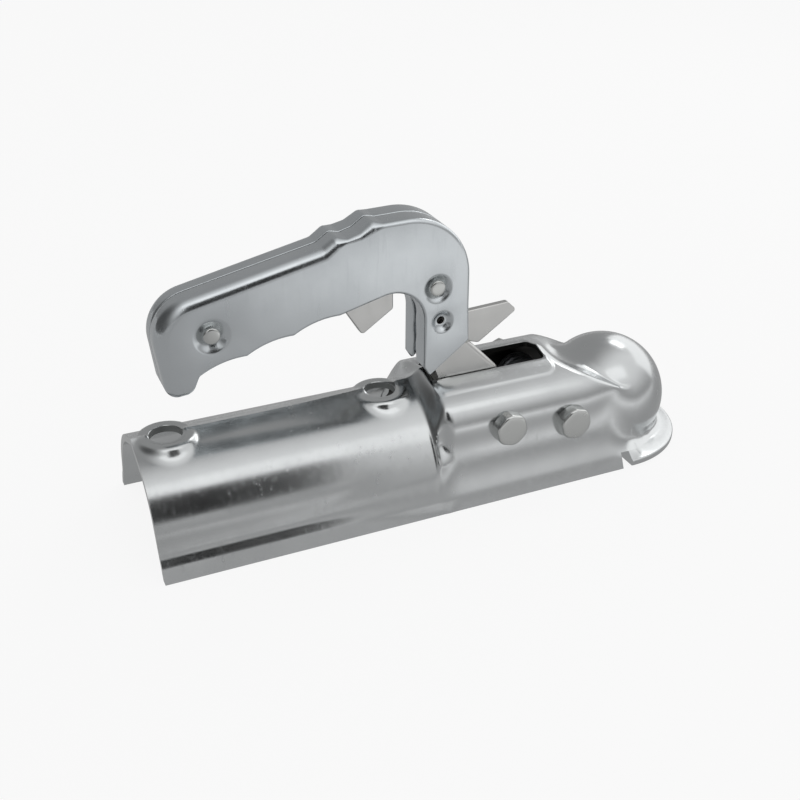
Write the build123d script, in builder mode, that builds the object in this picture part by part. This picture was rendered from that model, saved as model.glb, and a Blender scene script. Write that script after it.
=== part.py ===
"""Ball coupling head for a round drawbar: pressed housing, hand lever with a finger catch, and ball jaw.

Frame: origin at the centre of the coupling ball, X forward to the tow car, Y to the left, Z up.
"""

import os
from math import asin, cos, degrees, pi, radians, sin, sqrt, tan

from build123d import *

os.makedirs("parts", exist_ok=True)

# Ball and pressed sheet
ball_d = 50.0
ball_gap = 0.75
sheet = 3.0
dome_gap = 0.4
dome_sheet = 2.1

# Saddle over the drawbar tube
tube_d = 60.0
tube_gap = 0.25
tube_axis_z = -10.0
drawbar_hole_d = 13.5
drawbar_hole_spacing = 90.0
front_hole_x = -110.5
pad_r = 10.0
pad_flare = 3.0
pad_rise = 1.5
rear_land = 0.5
skirt = 1.25
flange_width = 5.75
flange_lean = 45.0

# Head, waist groove and deck
head_top_z = 29.25
head_crown_r = 50.0
head_shoulder_r = 6.2
head_root_r = 12.0
waist_rear_x = -99.5
groove_x = -94.5
head_rear_x = -89.5
groove_depth = 2.75
groove_top_drop = 3.75
groove_root_r = 30.0
groove_wall_shift = 1.5
waist_shoulder_r = 7.2
slot_front_x = -36.4
slot_length = 53.0
slot_half = 8.5
slot_corner_r = 2.0
rail_width = 9.5
rail_rise = 0.6

# Dome over the ball, the valley behind it and the brow where the deck runs out
valley_r = 6.0
valley_reach = 25.5
brow_start_x = -18.0
brow_start_z = 27.0
brow_slope = 43.0
flange_front_x = -11.1
brim_rear_x = -6.7
brim_r = 39.0
brim_centre_x = -6.0
brim_root = 3.0
mouth_r = 23.4
mouth_flare = 1.5

# Pivot bolts
bolt_d = 10.0
bolt_hole_gap = 0.25
bolt_head_af = 14.9
bolt_head_round_d = 15.6
bolt_turn = 14.4
bolt_head_height = 6.4
bolt_face_d = 13.6
bolt_face_slope = 30.0
bolt_tail = 3.0
nut_af = 16.0
nut_face_d = 14.4
nut_height = 8.0
washer_d = 18.0
washer_thickness = 2.0
lever_x = -64.8
lever_z = 11.7
jaw_x = -33.8
jaw_z = 7.6
bush_wall = 1.4
bush_slip = 0.1
bush_chamfer = 1.2
bearing_gap = 0.06

# Hand lever shells, seen from the side
shell_sheet = 2.0
handle_half = 10.0
seam_gap = 0.25
neck_lead = 9.7
neck_width = 20.0
bend_height = 89.8
bend_r = 27.0
grip_length = 129.5
grip_slope = 11.9
grip_rear_r = 17.0
step_count = 2
step_rear_x = -136.3
step_rear_z = 93.8
step_run = 5.5
step_rise = 3.7
step_dip_run = 4.2
step_dip = 1.0
step_pitch = 14.7
step_climb = 4.1
step_r = 2.4
finger_slope = 14.5
crook_height = 63.5
crook_r = 14.0
scallop_first_x = -187.0
scallop_pitch = 19.5
scallop_count = 3
scallop_rise = 1.4
tip_x = -199.5
tip_z = 42.5
tip_width = 10.0
tip_rise = 2.5
tip_r = 5.0
cut_front_z = 45.0
cut_rear_z = 32.0
cut_rear_set = 2.5
shell_edge_r = 1.6

# Rivets of the hand lever
rivet_d = 5.0
rivet_head_d = 6.8
rivet_head_height = 1.4
rivet_dish_d = 11.0
rivet_dish_depth = 1.0
grip_rivet_x = -181.6
grip_rivet_z = 68.5
neck_rivet_x = -89.3
neck_rivet_z = 70.9
dimple_x = -86.8
dimple_z = 55.5
dimple_d = 9.0
dimple_hole_d = 3.6
rivet_gap = 0.05
spacer_wall = 2.0

# Lever fork and cam
cheek = 2.5
cheek_gap = 1.2
cheek_head = 6.0
heel_x = -86.0
heel_z = 26.5
toe_lead = 2.1
toe_rise_z = 42.6
toe_x = -59.0
toe_z = 28.5
toe_r = 3.0
web_length = 5.5
lever_bend_r = 2.2
hub_wall = 4.0
cam_tip_r = 5.0
cam_gap = 0.35
cam_along = 0.3

# Ball jaw
jaw_half = 13.0
jaw_boss_wall = 3.0
jaw_lip_r = 4.5
jaw_lip_angle = 22.0
jaw_ball_gap = 0.9

# Catch plate
catch_thickness = 3.0
catch_window = 0.7
catch_side_gap = 0.15
catch_rim = 7.5
catch_neck_gap = 4.5
catch_corner_r = 1.5
trigger_tip_x = -118.2
trigger_tip_z = 51.9
trigger_rear_x = -127.5
trigger_rear_z = 67.0
trigger_front_x = -104.6
trigger_front_z = 61.1
prong_top_z = 53.5
prong_tip_x = -47.7
prong_tip_z = 50.3
prong_point = 4.2
prong_foot_x = -65.4
prong_foot_z = 38.2

# Springs
jaw_wire_d = 2.5
jaw_spring_turns = 3.0
catch_wire_d = 1.0
catch_spring_turns = 2.0
coil_slip = 0.3
coil_open = 0.2
coil_steps = 16
wire_sides = 8

# Sizes that follow from the above
ball_r = ball_d / 2
nose_r = ball_r + ball_gap + sheet
dome_outer_r = ball_r + dome_gap + dome_sheet
saddle_r = tube_d / 2 + tube_gap + sheet
flange_reach = saddle_r + flange_width
base_z = tube_axis_z - skirt - flange_width * tan(radians(flange_lean))
rear_hole_x = front_hole_x - drawbar_hole_spacing
rear_x = rear_hole_x - pad_r - pad_flare - rear_land
pad_z = tube_axis_z + saddle_r + pad_rise
wall_inner = nose_r - sheet
bolt_r = bolt_d / 2
bush_r = bolt_r + bush_slip + bush_wall
neck_front_x = lever_x - neck_lead
neck_rear_x = neck_front_x - neck_width
bend_top_z = lever_z + bend_height
crook_z = lever_z + crook_height
shell_inner = handle_half - shell_sheet
finger_rise = tan(radians(finger_slope))
cheek_inner = shell_inner - cheek
catch_half = catch_thickness / 2
rivet_r = rivet_d / 2
spacer_r = rivet_r + rivet_gap + spacer_wall
hub_r = bush_r + bearing_gap + hub_wall
jaw_boss_r = bush_r + jaw_boss_wall


def across(x):
    """Section plane square to X, drawn with Y to the right and Z up."""
    return Plane.YZ.offset(x)


def side(y=0.0):
    """Side-view plane at the given Y, drawn with X to the right and Z up, facing the near side."""
    return Plane.XZ.offset(-y)


class Arch:
    """Cross-section of the pressing: crown, two shoulders, straight walls and turned-out flanges."""

    def __init__(self, half_width, top_z, crown_r, shoulder_r, root_r):
        self.half_width = half_width
        self.top_z = top_z
        self.crown_r = crown_r
        self.root_r = root_r
        # Where the crown meets the shoulder; a crown as wide as the walls is one arc, split at half a right angle
        self.lean = radians(45.0)
        if crown_r > shoulder_r:
            self.lean = asin((half_width - shoulder_r) / (crown_r - shoulder_r))

    def at(self, x, inset, flanged=True):
        """Closed section at the given X, moved inward by the inset, down to the base."""
        wall_y = self.half_width - inset
        top = self.top_z - inset
        crown = self.crown_r - inset
        shoulder = (wall_y - crown * sin(self.lean)) / (1 - sin(self.lean))
        join = (crown * sin(self.lean), top - crown + crown * cos(self.lean))
        spring = (wall_y, join[1] - shoulder * cos(self.lean))
        floor = base_z - inset
        slope = radians(flange_lean)
        reach = flange_reach - inset / sin(slope)
        corner_z = base_z + (reach - wall_y) * tan(slope)
        tangent = (self.root_r + inset) * tan(slope / 2)
        flange_top = (wall_y + tangent * cos(slope), corner_z - tangent * sin(slope))
        wall_foot = (wall_y, corner_z + tangent)
        foot_y = wall_y + (corner_z - floor) / tan(slope)
        with BuildLine() as flanks:
            if flanged:
                Polyline((0, floor), (foot_y, floor), flange_top)
                TangentArc(flange_top, wall_foot, tangent=(-cos(slope), sin(slope)))
                Line(wall_foot, spring)
            else:
                Polyline((0, floor), (wall_y, floor), spring)
            TangentArc(spring, join, tangent=(0, 1))
            mirror(about=Plane.YZ)
        with BuildLine() as crest:
            ThreePointArc(join, (0, top), (-join[0], join[1]))
        return across(x) * Face(Wire(flanks.edges() + crest.edges()))


saddle = Arch(saddle_r, tube_axis_z + saddle_r, saddle_r, saddle_r, 2 * skirt)
waist = Arch(
    nose_r - groove_depth,
    head_top_z - groove_top_drop,
    head_crown_r,
    waist_shoulder_r,
    groove_root_r,
)
head = Arch(nose_r, head_top_z, head_crown_r, head_shoulder_r, head_root_r)
snout = Arch(dome_outer_r, head_top_z, head_crown_r, head_shoulder_r, head_root_r)


def pressing(inset):
    """Solid form of the housing moved inward: its outside at 0, its inside at the sheet's thickness."""
    shift = groove_wall_shift * inset / sheet
    drawn = inset * dome_sheet / sheet
    valley_tube_r = valley_r + drawn
    dome_r = dome_outer_r - drawn
    valley_centre_r = valley_reach - valley_r
    valley_centre_z = sqrt((dome_outer_r + valley_r) ** 2 - valley_centre_r**2)
    touch = dome_r / (dome_outer_r + valley_r)
    valley_side = valley_centre_r + valley_tube_r
    sky = 2 * head_top_z
    with BuildPart() as scoop:
        with BuildSketch(Plane.XZ):
            with BuildLine():
                Polyline((0, dome_r), (0, sky), (valley_side, sky), (valley_side, valley_centre_z))
                RadiusArc(
                    (valley_side, valley_centre_z),
                    (valley_centre_r * touch, valley_centre_z * touch),
                    valley_tube_r,
                )
                RadiusArc((valley_centre_r * touch, valley_centre_z * touch), (0, dome_r), -dome_r)
            make_face()
        revolve(axis=Axis.Z)
    brow_drop = inset / cos(radians(brow_slope))
    brow_run = 2 * abs(brow_start_x)
    brow_fall = brow_run * tan(radians(brow_slope))
    with BuildPart() as brow:
        with BuildSketch(Plane.XZ):
            with BuildLine():
                Polyline(
                    (brow_start_x, brow_start_z - brow_drop),
                    (brow_start_x, sky),
                    (brow_start_x + brow_run, sky),
                    (brow_start_x + brow_run, brow_start_z - brow_drop - brow_fall),
                    close=True,
                )
            make_face()
        extrude(amount=2 * nose_r, both=True)
        Cylinder(valley_reach - inset, 2 * sky, mode=Mode.SUBTRACT)
    with BuildPart() as form:
        extrude(head.at(head_rear_x, inset), amount=flange_front_x - head_rear_x)
        loft(
            [head.at(flange_front_x, inset, flanged=False), snout.at(0, inset, flanged=False)],
            ruled=True,
        )
        add(scoop.part, mode=Mode.SUBTRACT)
        add(brow.part, mode=Mode.SUBTRACT)
        extrude(saddle.at(rear_x - inset, inset), amount=waist_rear_x - shift - rear_x + inset)
        loft([saddle.at(waist_rear_x - shift, inset), waist.at(groove_x - shift, inset)], ruled=True)
        if inset:
            extrude(waist.at(groove_x - shift, inset), amount=shift)
        loft([waist.at(groove_x, inset), head.at(head_rear_x, inset)], ruled=True)
        low = degrees(asin((sheet / 2 + base_z) / dome_outer_r)) if not inset else -90
        Sphere(dome_r, arc_size1=low, align=(Align.CENTER, Align.CENTER, Align.NONE))
    return form.part


# Housing, one pressing
outside = pressing(0)
inside = pressing(sheet)
pad_height = pad_rise + pad_flare
root_top_r = sqrt(dome_outer_r**2 - (base_z + sheet + brim_root) ** 2)
with BuildPart() as housing:
    add(outside)
    with Locations((rear_hole_x, 0, pad_z), (front_hole_x, 0, pad_z)):
        Cone(
            pad_r + pad_flare,
            pad_r,
            pad_height,
            align=(Align.CENTER, Align.CENTER, Align.MAX),
        )
    with BuildSketch(across(head_rear_x)):
        with Locations((0, head_top_z - head_crown_r)):
            Circle(head_crown_r + rail_rise)
            Circle(head_crown_r - sheet / 2, mode=Mode.SUBTRACT)
        with Locations((0, head_top_z)):
            Rectangle(2 * (slot_half + rail_width), sheet * 4, mode=Mode.INTERSECT)
    extrude(amount=slot_front_x - head_rear_x)
    with BuildSketch(Plane.XY.offset(base_z)):
        with Locations((brim_centre_x, 0)):
            Circle(brim_r)
        with Locations((brim_rear_x, 0)):
            Rectangle(2 * brim_r, 2 * brim_r, align=(Align.MIN, Align.CENTER), mode=Mode.INTERSECT)
    extrude(amount=sheet)
    with Locations((0, 0, base_z + sheet)):
        Cone(
            root_top_r + brim_root / 2,
            root_top_r,
            brim_root,
            align=(Align.CENTER, Align.CENTER, Align.MIN),
        )
    add(inside, mode=Mode.SUBTRACT)
    with Locations((0, 0, base_z)):
        Cylinder(
            mouth_r,
            -base_z,
            align=(Align.CENTER, Align.CENTER, Align.MIN),
            mode=Mode.SUBTRACT,
        )
        Cone(
            mouth_r + mouth_flare,
            mouth_r,
            mouth_flare,
            align=(Align.CENTER, Align.CENTER, Align.MIN),
            mode=Mode.SUBTRACT,
        )
    with Locations((rear_hole_x, 0, pad_z - sheet), (front_hole_x, 0, pad_z - sheet)):
        Cylinder(
            pad_r - pad_rise,
            saddle_r / 2,
            align=(Align.CENTER, Align.CENTER, Align.MAX),
            mode=Mode.SUBTRACT,
        )
    with BuildSketch(Plane.XY.offset(pad_z + pad_rise)):
        with Locations((rear_hole_x, 0), (front_hole_x, 0)):
            Circle(drawbar_hole_d / 2)
    extrude(amount=-saddle_r, mode=Mode.SUBTRACT)
    with BuildSketch(Plane.XY.offset(2 * head_top_z)):
        with Locations((slot_front_x, 0)):
            RectangleRounded(slot_length, 2 * slot_half, slot_corner_r, align=(Align.MAX, Align.CENTER))
    extrude(amount=-2 * head_top_z + lever_z, mode=Mode.SUBTRACT)
    with BuildSketch(side()):
        with Locations((lever_x, lever_z), (jaw_x, jaw_z)):
            Circle(bolt_r + bolt_hole_gap)
    extrude(amount=2 * nose_r, both=True, mode=Mode.SUBTRACT)
housing.part.label = "housing"
export_step(housing.part, "parts/housing.step")


def hexagon(x, y, z, height, across_flats, turn=0.0):
    """Hexagon prism from the given Y towards the near side."""
    with BuildPart() as prism:
        with BuildSketch(side(y)):
            with Locations((x, z)):
                RegularPolygon(across_flats / 2, 6, major_radius=False, rotation=30 + turn)
        extrude(amount=height)
    return prism.part


def turned_edge(x, y, z, height, facing, face_d):
    """Cone that takes the corners off a hexagon, its small end at the given Y and facing that way."""
    spread = height / tan(radians(bolt_face_slope))
    with BuildPart() as cone:
        with Locations(Plane(origin=(x, y, z), z_dir=(0, facing, 0))):
            Cone(
                face_d / 2 + spread,
                face_d / 2,
                height,
                align=(Align.CENTER, Align.CENTER, Align.MAX),
            )
    return cone.part


def rod(x, z, y_from, y_to, radius):
    """Round bar along Y between two positions."""
    with BuildPart() as bar:
        with BuildSketch(side(y_to)):
            with Locations((x, z)):
                Circle(radius)
        extrude(amount=y_to - y_from)
    return bar.part


def tube(x, z, y_from, y_to, outer_r, inner_r):
    """Sleeve along Y between two positions."""
    with BuildPart() as sleeve:
        add(rod(x, z, y_from, y_to, outer_r))
        add(rod(x, z, y_from, y_to, inner_r), mode=Mode.SUBTRACT)
    return sleeve.part


def pivot_bolt(x, z):
    """Hexagon bolt through both side walls, its head on the near side."""
    with BuildPart() as bolt:
        face_y = -nose_r - bolt_head_height
        add(hexagon(x, -nose_r, z, bolt_head_height, bolt_head_af, bolt_turn))
        add(rod(x, z, face_y, -nose_r, bolt_head_round_d / 2), mode=Mode.INTERSECT)
        add(turned_edge(x, face_y, z, bolt_head_height, -1, bolt_face_d), mode=Mode.INTERSECT)
        with BuildSketch(side(-nose_r)):
            with Locations((x, z)):
                Circle(bolt_r)
        extrude(amount=-2 * nose_r - washer_thickness - nut_height - bolt_tail)
    return bolt.part


def pivot_nut(x, z):
    """Hexagon nut on the far side, seated on its washer."""
    seat = nose_r + washer_thickness
    with BuildPart() as nut:
        add(hexagon(x, seat + nut_height, z, nut_height, nut_af))
        add(turned_edge(x, seat + nut_height, z, nut_height, 1, nut_face_d), mode=Mode.INTERSECT)
        with BuildSketch(side(seat)):
            with Locations((x, z)):
                Circle(bolt_r + bush_slip / 2)
        extrude(amount=-nut_height, mode=Mode.SUBTRACT)
    return nut.part


def pivot_bush(x, z):
    """Sleeve clamped between the side walls, with turned ends."""
    with BuildPart() as bush:
        add(tube(x, z, -wall_inner, wall_inner, bush_r, bolt_r + bush_slip))
        rims = bush.edges().filter_by(GeomType.CIRCLE).group_by(SortBy.RADIUS)[-1]
        chamfer(rims, length=bush_chamfer)
    return bush.part


def hull(x1, z1, r1, x2, z2, r2):
    """Outline wrapped round two circles in the side view."""
    with BuildSketch(side()) as wrap:
        with Locations((x1, z1)):
            Circle(r1)
        with Locations((x2, z2)):
            Circle(r2)
        make_hull()
    return wrap.sketch


def coil(x, z, y_from, mean_r, wire_d, turns):
    """Torsion spring wound along Y, its wire in short straight steps."""
    pitch = wire_d + coil_open
    corner_r = mean_r / cos(pi / coil_steps)
    corners = []
    for step in range(round(turns * coil_steps) + 1):
        turn = step / coil_steps
        corner_x = x + corner_r * cos(2 * pi * turn)
        corner_z = z + corner_r * sin(2 * pi * turn)
        corners.append((corner_x, y_from + wire_d / 2 + pitch * turn, corner_z))
    with BuildPart() as spring:
        with BuildLine() as path:
            Polyline(*corners)
        with BuildSketch(path.line ^ 0):
            RegularPolygon(wire_d / 2, wire_sides)
        sweep(transition=Transition.RIGHT)
    return spring.part


# Pivot bolts, nuts, washers and bushes
with BuildPart() as rear_bolt:
    add(pivot_bolt(lever_x, lever_z))
rear_bolt.part.label = "rear_bolt"
export_step(rear_bolt.part, "parts/rear_bolt.step")

with BuildPart() as front_bolt:
    add(pivot_bolt(jaw_x, jaw_z))
front_bolt.part.label = "front_bolt"
export_step(front_bolt.part, "parts/front_bolt.step")

with BuildPart() as rear_nut:
    add(pivot_nut(lever_x, lever_z))
rear_nut.part.label = "rear_nut"
export_step(rear_nut.part, "parts/rear_nut.step")

with BuildPart() as front_nut:
    add(pivot_nut(jaw_x, jaw_z))
front_nut.part.label = "front_nut"
export_step(front_nut.part, "parts/front_nut.step")

washer_bore = bolt_r + bolt_hole_gap
with BuildPart() as rear_washer:
    add(tube(lever_x, lever_z, nose_r, nose_r + washer_thickness, washer_d / 2, washer_bore))
rear_washer.part.label = "rear_washer"
export_step(rear_washer.part, "parts/rear_washer.step")

with BuildPart() as front_washer:
    add(tube(jaw_x, jaw_z, nose_r, nose_r + washer_thickness, washer_d / 2, washer_bore))
front_washer.part.label = "front_washer"
export_step(front_washer.part, "parts/front_washer.step")

with BuildPart() as lever_bush:
    add(pivot_bush(lever_x, lever_z))
lever_bush.part.label = "lever_bush"
export_step(lever_bush.part, "parts/lever_bush.step")

with BuildPart() as jaw_bush:
    add(pivot_bush(jaw_x, jaw_z))
jaw_bush.part.label = "jaw_bush"
export_step(jaw_bush.part, "parts/jaw_bush.step")

# Hand lever shells: one outline, pressed as two cups
grip_rear_x = neck_front_x - grip_length
grip_rear_z = step_rear_z + (grip_rear_x - step_rear_x) * tan(radians(grip_slope))
scallop_first_z = crook_z + (scallop_first_x - neck_rear_x) * finger_rise
cut_rear_x = neck_rear_x + cut_rear_set
thumb_steps = []
for step in reversed(range(step_count)):
    foot_x = step_rear_x + step * step_pitch
    foot_z = step_rear_z + step * step_climb
    crest_x = foot_x + step_run
    crest_z = foot_z + step_rise
    thumb_steps += [(crest_x + step_dip_run, crest_z - step_dip), (crest_x, crest_z), (foot_x, foot_z)]
with BuildSketch(side(-seam_gap)) as outline:
    with BuildLine():
        FilletPolyline(
            (cut_rear_x, cut_rear_z),
            (neck_front_x, cut_front_z),
            (neck_front_x, bend_top_z),
            *thumb_steps,
            (grip_rear_x, grip_rear_z),
            (tip_x, tip_z),
            (tip_x + tip_width, tip_z + tip_rise),
            (scallop_first_x, scallop_first_z),
            (neck_rear_x, crook_z),
            (neck_rear_x, cut_rear_z + 2 * shell_sheet),
            radius=(0, 0, bend_r, *([step_r] * len(thumb_steps)), grip_rear_r, tip_r, tip_r, 0, crook_r, 0),
            close=True,
        )
    make_face()
    for finger in range(scallop_count):
        cusp_x = scallop_first_x + finger * scallop_pitch
        next_x = cusp_x + scallop_pitch
        cusp = (cusp_x, crook_z + (cusp_x - neck_rear_x) * finger_rise)
        next_cusp = (next_x, crook_z + (next_x - neck_rear_x) * finger_rise)
        with BuildLine():
            Line(next_cusp, cusp)
            SagittaArc(cusp, next_cusp, scallop_rise)
        make_face(mode=Mode.SUBTRACT)

with BuildSketch(side(-seam_gap)) as pocket:
    offset(outline.sketch, amount=-shell_sheet, kind=Kind.INTERSECTION)
    with BuildLine():
        Polyline(
            (neck_rear_x + shell_sheet, cut_rear_z - shell_sheet),
            (neck_front_x - shell_sheet, cut_front_z - 2 * shell_sheet),
            (neck_front_x - shell_sheet, cut_front_z + 2 * shell_sheet),
            (neck_rear_x + shell_sheet, cut_rear_z + 4 * shell_sheet),
            close=True,
        )
    make_face()

window_half = catch_half + catch_window
window_rear_x = trigger_rear_x - 2 * shell_sheet
window_top_z = prong_top_z + shell_sheet
with BuildPart() as handle_right_shell:
    extrude(outline.sketch, amount=handle_half - seam_gap)
    face_edges = handle_right_shell.faces().sort_by(Axis.Y)[0].edges()
    upper_edges = ShapeList()
    for edge in face_edges:
        middle = edge.center()
        if middle.Z > crook_z + (middle.X - neck_rear_x) * finger_rise + tip_r:
            upper_edges.append(edge)
    fillet(upper_edges, radius=shell_edge_r)
    extrude(pocket.sketch, amount=shell_inner - seam_gap, mode=Mode.SUBTRACT)
    with Locations((window_rear_x, 0, trigger_tip_z)):
        Box(
            trigger_front_x + shell_sheet - window_rear_x,
            2 * window_half,
            crook_z + shell_sheet - trigger_tip_z,
            align=(Align.MIN, Align.CENTER, Align.MIN),
            mode=Mode.SUBTRACT,
        )
    with Locations((neck_front_x + shell_sheet, 0, cut_rear_z)):
        Box(
            3 * shell_sheet,
            2 * window_half,
            window_top_z - cut_rear_z,
            align=(Align.MAX, Align.CENTER, Align.MIN),
            mode=Mode.SUBTRACT,
        )
    with Locations(
        Plane(origin=(grip_rivet_x, -handle_half, grip_rivet_z), z_dir=(0, -1, 0)),
        Plane(origin=(neck_rivet_x, -handle_half, neck_rivet_z), z_dir=(0, -1, 0)),
    ):
        Cone(
            rivet_head_d / 2 + rivet_gap,
            rivet_dish_d / 2,
            rivet_dish_depth,
            align=(Align.CENTER, Align.CENTER, Align.MAX),
            mode=Mode.SUBTRACT,
        )
        Cylinder(rivet_r + rivet_gap, 3 * shell_sheet, mode=Mode.SUBTRACT)
    with Locations(Plane(origin=(dimple_x, -handle_half, dimple_z), z_dir=(0, -1, 0))):
        Cone(
            dimple_hole_d / 2,
            dimple_d / 2,
            rivet_dish_depth,
            align=(Align.CENTER, Align.CENTER, Align.MAX),
            mode=Mode.SUBTRACT,
        )
        Cylinder(dimple_hole_d / 2, 3 * shell_sheet, mode=Mode.SUBTRACT)
handle_right_shell.part.label = "handle_right_shell"
export_step(handle_right_shell.part, "parts/handle_right_shell.step")

with BuildPart() as handle_left_shell:
    mirror(handle_right_shell.part, about=Plane.XZ)
handle_left_shell.part.label = "handle_left_shell"
export_step(handle_left_shell.part, "parts/handle_left_shell.step")

# Ball jaw, and the back line that the lever's cam bears on
lip_reach = ball_r + ball_gap + jaw_lip_r
lip_x = -lip_reach * cos(radians(jaw_lip_angle))
lip_z = -lip_reach * sin(radians(jaw_lip_angle))
with BuildPart() as ball_jaw:
    extrude(hull(jaw_x, jaw_z, jaw_boss_r, lip_x, lip_z, jaw_lip_r), amount=jaw_half, both=True)
    Sphere(ball_r + jaw_ball_gap, mode=Mode.SUBTRACT)
    add(rod(jaw_x, jaw_z, -jaw_half, jaw_half, bush_r + bearing_gap), mode=Mode.SUBTRACT)
ball_jaw.part.label = "ball_jaw"
export_step(ball_jaw.part, "parts/ball_jaw.step")

jaw_span = sqrt((lip_x - jaw_x) ** 2 + (lip_z - jaw_z) ** 2)
along_x = (lip_x - jaw_x) / jaw_span
along_z = (lip_z - jaw_z) / jaw_span
narrowing = (jaw_boss_r - jaw_lip_r) / jaw_span
back_x = narrowing * along_x + sqrt(1 - narrowing**2) * along_z
back_z = narrowing * along_z - sqrt(1 - narrowing**2) * along_x
boss_back_x = jaw_x + jaw_boss_r * back_x
boss_back_z = jaw_z + jaw_boss_r * back_z
lip_back_x = lip_x + jaw_lip_r * back_x
lip_back_z = lip_z + jaw_lip_r * back_z
cam_x = boss_back_x + cam_along * (lip_back_x - boss_back_x) + back_x * (cam_tip_r + cam_gap)
cam_z = boss_back_z + cam_along * (lip_back_z - boss_back_z) + back_z * (cam_tip_r + cam_gap)

# Lever: two cheeks between the shells, a web, the hub on its bush and the cam behind the jaw
cheek_rear_x = neck_rear_x + shell_sheet + cheek_gap
cheek_front_x = neck_front_x - shell_sheet - cheek_gap
hub_flank = hub_r / sqrt(2)
with BuildSketch(side()) as cheek_outline:
    with BuildLine():
        FilletPolyline(
            (lever_x - hub_flank, lever_z - hub_flank),
            (heel_x, heel_z),
            (cheek_rear_x, cut_rear_z + 4 * shell_sheet),
            (cheek_rear_x, crook_z - crook_r),
            (neck_rivet_x - cheek_head, neck_rivet_z),
            (neck_rivet_x - cheek_head, neck_rivet_z + cheek_head),
            (neck_rivet_x + cheek_head, neck_rivet_z + cheek_head),
            (cheek_front_x, neck_rivet_z),
            (cheek_front_x, toe_rise_z),
            (neck_front_x + toe_lead, toe_rise_z),
            (toe_x, toe_z),
            (lever_x + hub_r, lever_z),
            radius=(0, toe_r, 0, 0, 0, toe_r, toe_r, 0, 0, 0, toe_r, 0),
            close=True,
        )
    make_face()
with BuildSketch(side()) as web_outline:
    add(cheek_outline.sketch)
    offset(cheek_outline.sketch, amount=-cheek, mode=Mode.SUBTRACT)
    with Locations((toe_x - web_length, lever_z)):
        Rectangle(
            2 * hub_r,
            toe_z + web_length - lever_z,
            align=(Align.MIN, Align.MIN),
            mode=Mode.INTERSECT,
        )
with BuildSketch(side()) as bend_outline:
    add(cheek_outline.sketch)
    offset(cheek_outline.sketch, amount=-cheek, mode=Mode.SUBTRACT)
    with Locations((cheek_front_x, toe_z)):
        Rectangle(
            2 * hub_r,
            2 * (toe_rise_z - toe_z),
            align=(Align.MIN, Align.MIN),
            mode=Mode.INTERSECT,
        )
toe_line = Axis((0, 0, 0), (toe_x - neck_front_x - toe_lead, 0, toe_z - toe_rise_z))
with BuildPart() as lever:
    extrude(cheek_outline.sketch, amount=shell_inner, both=True)
    extrude(cheek_outline.sketch, amount=cheek_inner, both=True, mode=Mode.SUBTRACT)
    extrude(bend_outline.sketch, amount=shell_inner, both=True)
    extrude(bend_outline.sketch, amount=window_half, both=True, mode=Mode.SUBTRACT)
    extrude(web_outline.sketch, amount=shell_inner, both=True)
    bends = ShapeList()
    for edge in lever.edges().filter_by(toe_line):
        if abs(edge.center().Y) > cheek_inner + cheek / 2:
            bends.append(edge)
    fillet(bends, radius=lever_bend_r)
    extrude(hull(lever_x, lever_z, hub_r, cam_x, cam_z, cam_tip_r), amount=shell_inner, both=True)
    add(rod(lever_x, lever_z, -shell_inner, shell_inner, bush_r + bearing_gap), mode=Mode.SUBTRACT)
    add(rod(neck_rivet_x, neck_rivet_z, -shell_inner, shell_inner, rivet_r + rivet_gap), mode=Mode.SUBTRACT)
    add(rod(dimple_x, dimple_z, -shell_inner, shell_inner, dimple_hole_d / 2), mode=Mode.SUBTRACT)
lever.part.label = "lever"
export_step(lever.part, "parts/lever.step")


def rivet(x, z):
    """Rivet through both shells, its two heads in the shells' dishes."""
    seat = handle_half - rivet_dish_depth
    with BuildPart() as pin:
        with BuildSketch(side(seat)):
            with Locations((x, z)):
                Circle(rivet_r)
        extrude(amount=2 * seat)
        with BuildSketch(side(-seat), side(seat + rivet_head_height)):
            with Locations((x, z)):
                Circle(rivet_head_d / 2)
        extrude(amount=rivet_head_height)
        ends = pin.faces().sort_by(Axis.Y)
        rims = ends[0].edges() + ends[-1].edges()
        chamfer(rims, length=rivet_head_height / 2)
    return pin.part


# Rivets, sleeves and the catch
with BuildPart() as grip_rivet:
    add(rivet(grip_rivet_x, grip_rivet_z))
grip_rivet.part.label = "grip_rivet"
export_step(grip_rivet.part, "parts/grip_rivet.step")

with BuildPart() as neck_rivet:
    add(rivet(neck_rivet_x, neck_rivet_z))
neck_rivet.part.label = "neck_rivet"
export_step(neck_rivet.part, "parts/neck_rivet.step")

with BuildPart() as grip_spacer:
    add(tube(grip_rivet_x, grip_rivet_z, -shell_inner, shell_inner, spacer_r, rivet_r + rivet_gap))
grip_spacer.part.label = "grip_spacer"
export_step(grip_spacer.part, "parts/grip_spacer.step")

catch_side = catch_half + catch_side_gap
with BuildPart() as catch_spacer_right:
    add(tube(neck_rivet_x, neck_rivet_z, -cheek_inner, -catch_side, spacer_r, rivet_r + rivet_gap))
catch_spacer_right.part.label = "catch_spacer_right"
export_step(catch_spacer_right.part, "parts/catch_spacer_right.step")

with BuildPart() as catch_spacer_left:
    mirror(catch_spacer_right.part, about=Plane.XZ)
catch_spacer_left.part.label = "catch_spacer_left"
export_step(catch_spacer_left.part, "parts/catch_spacer_left.step")

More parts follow.
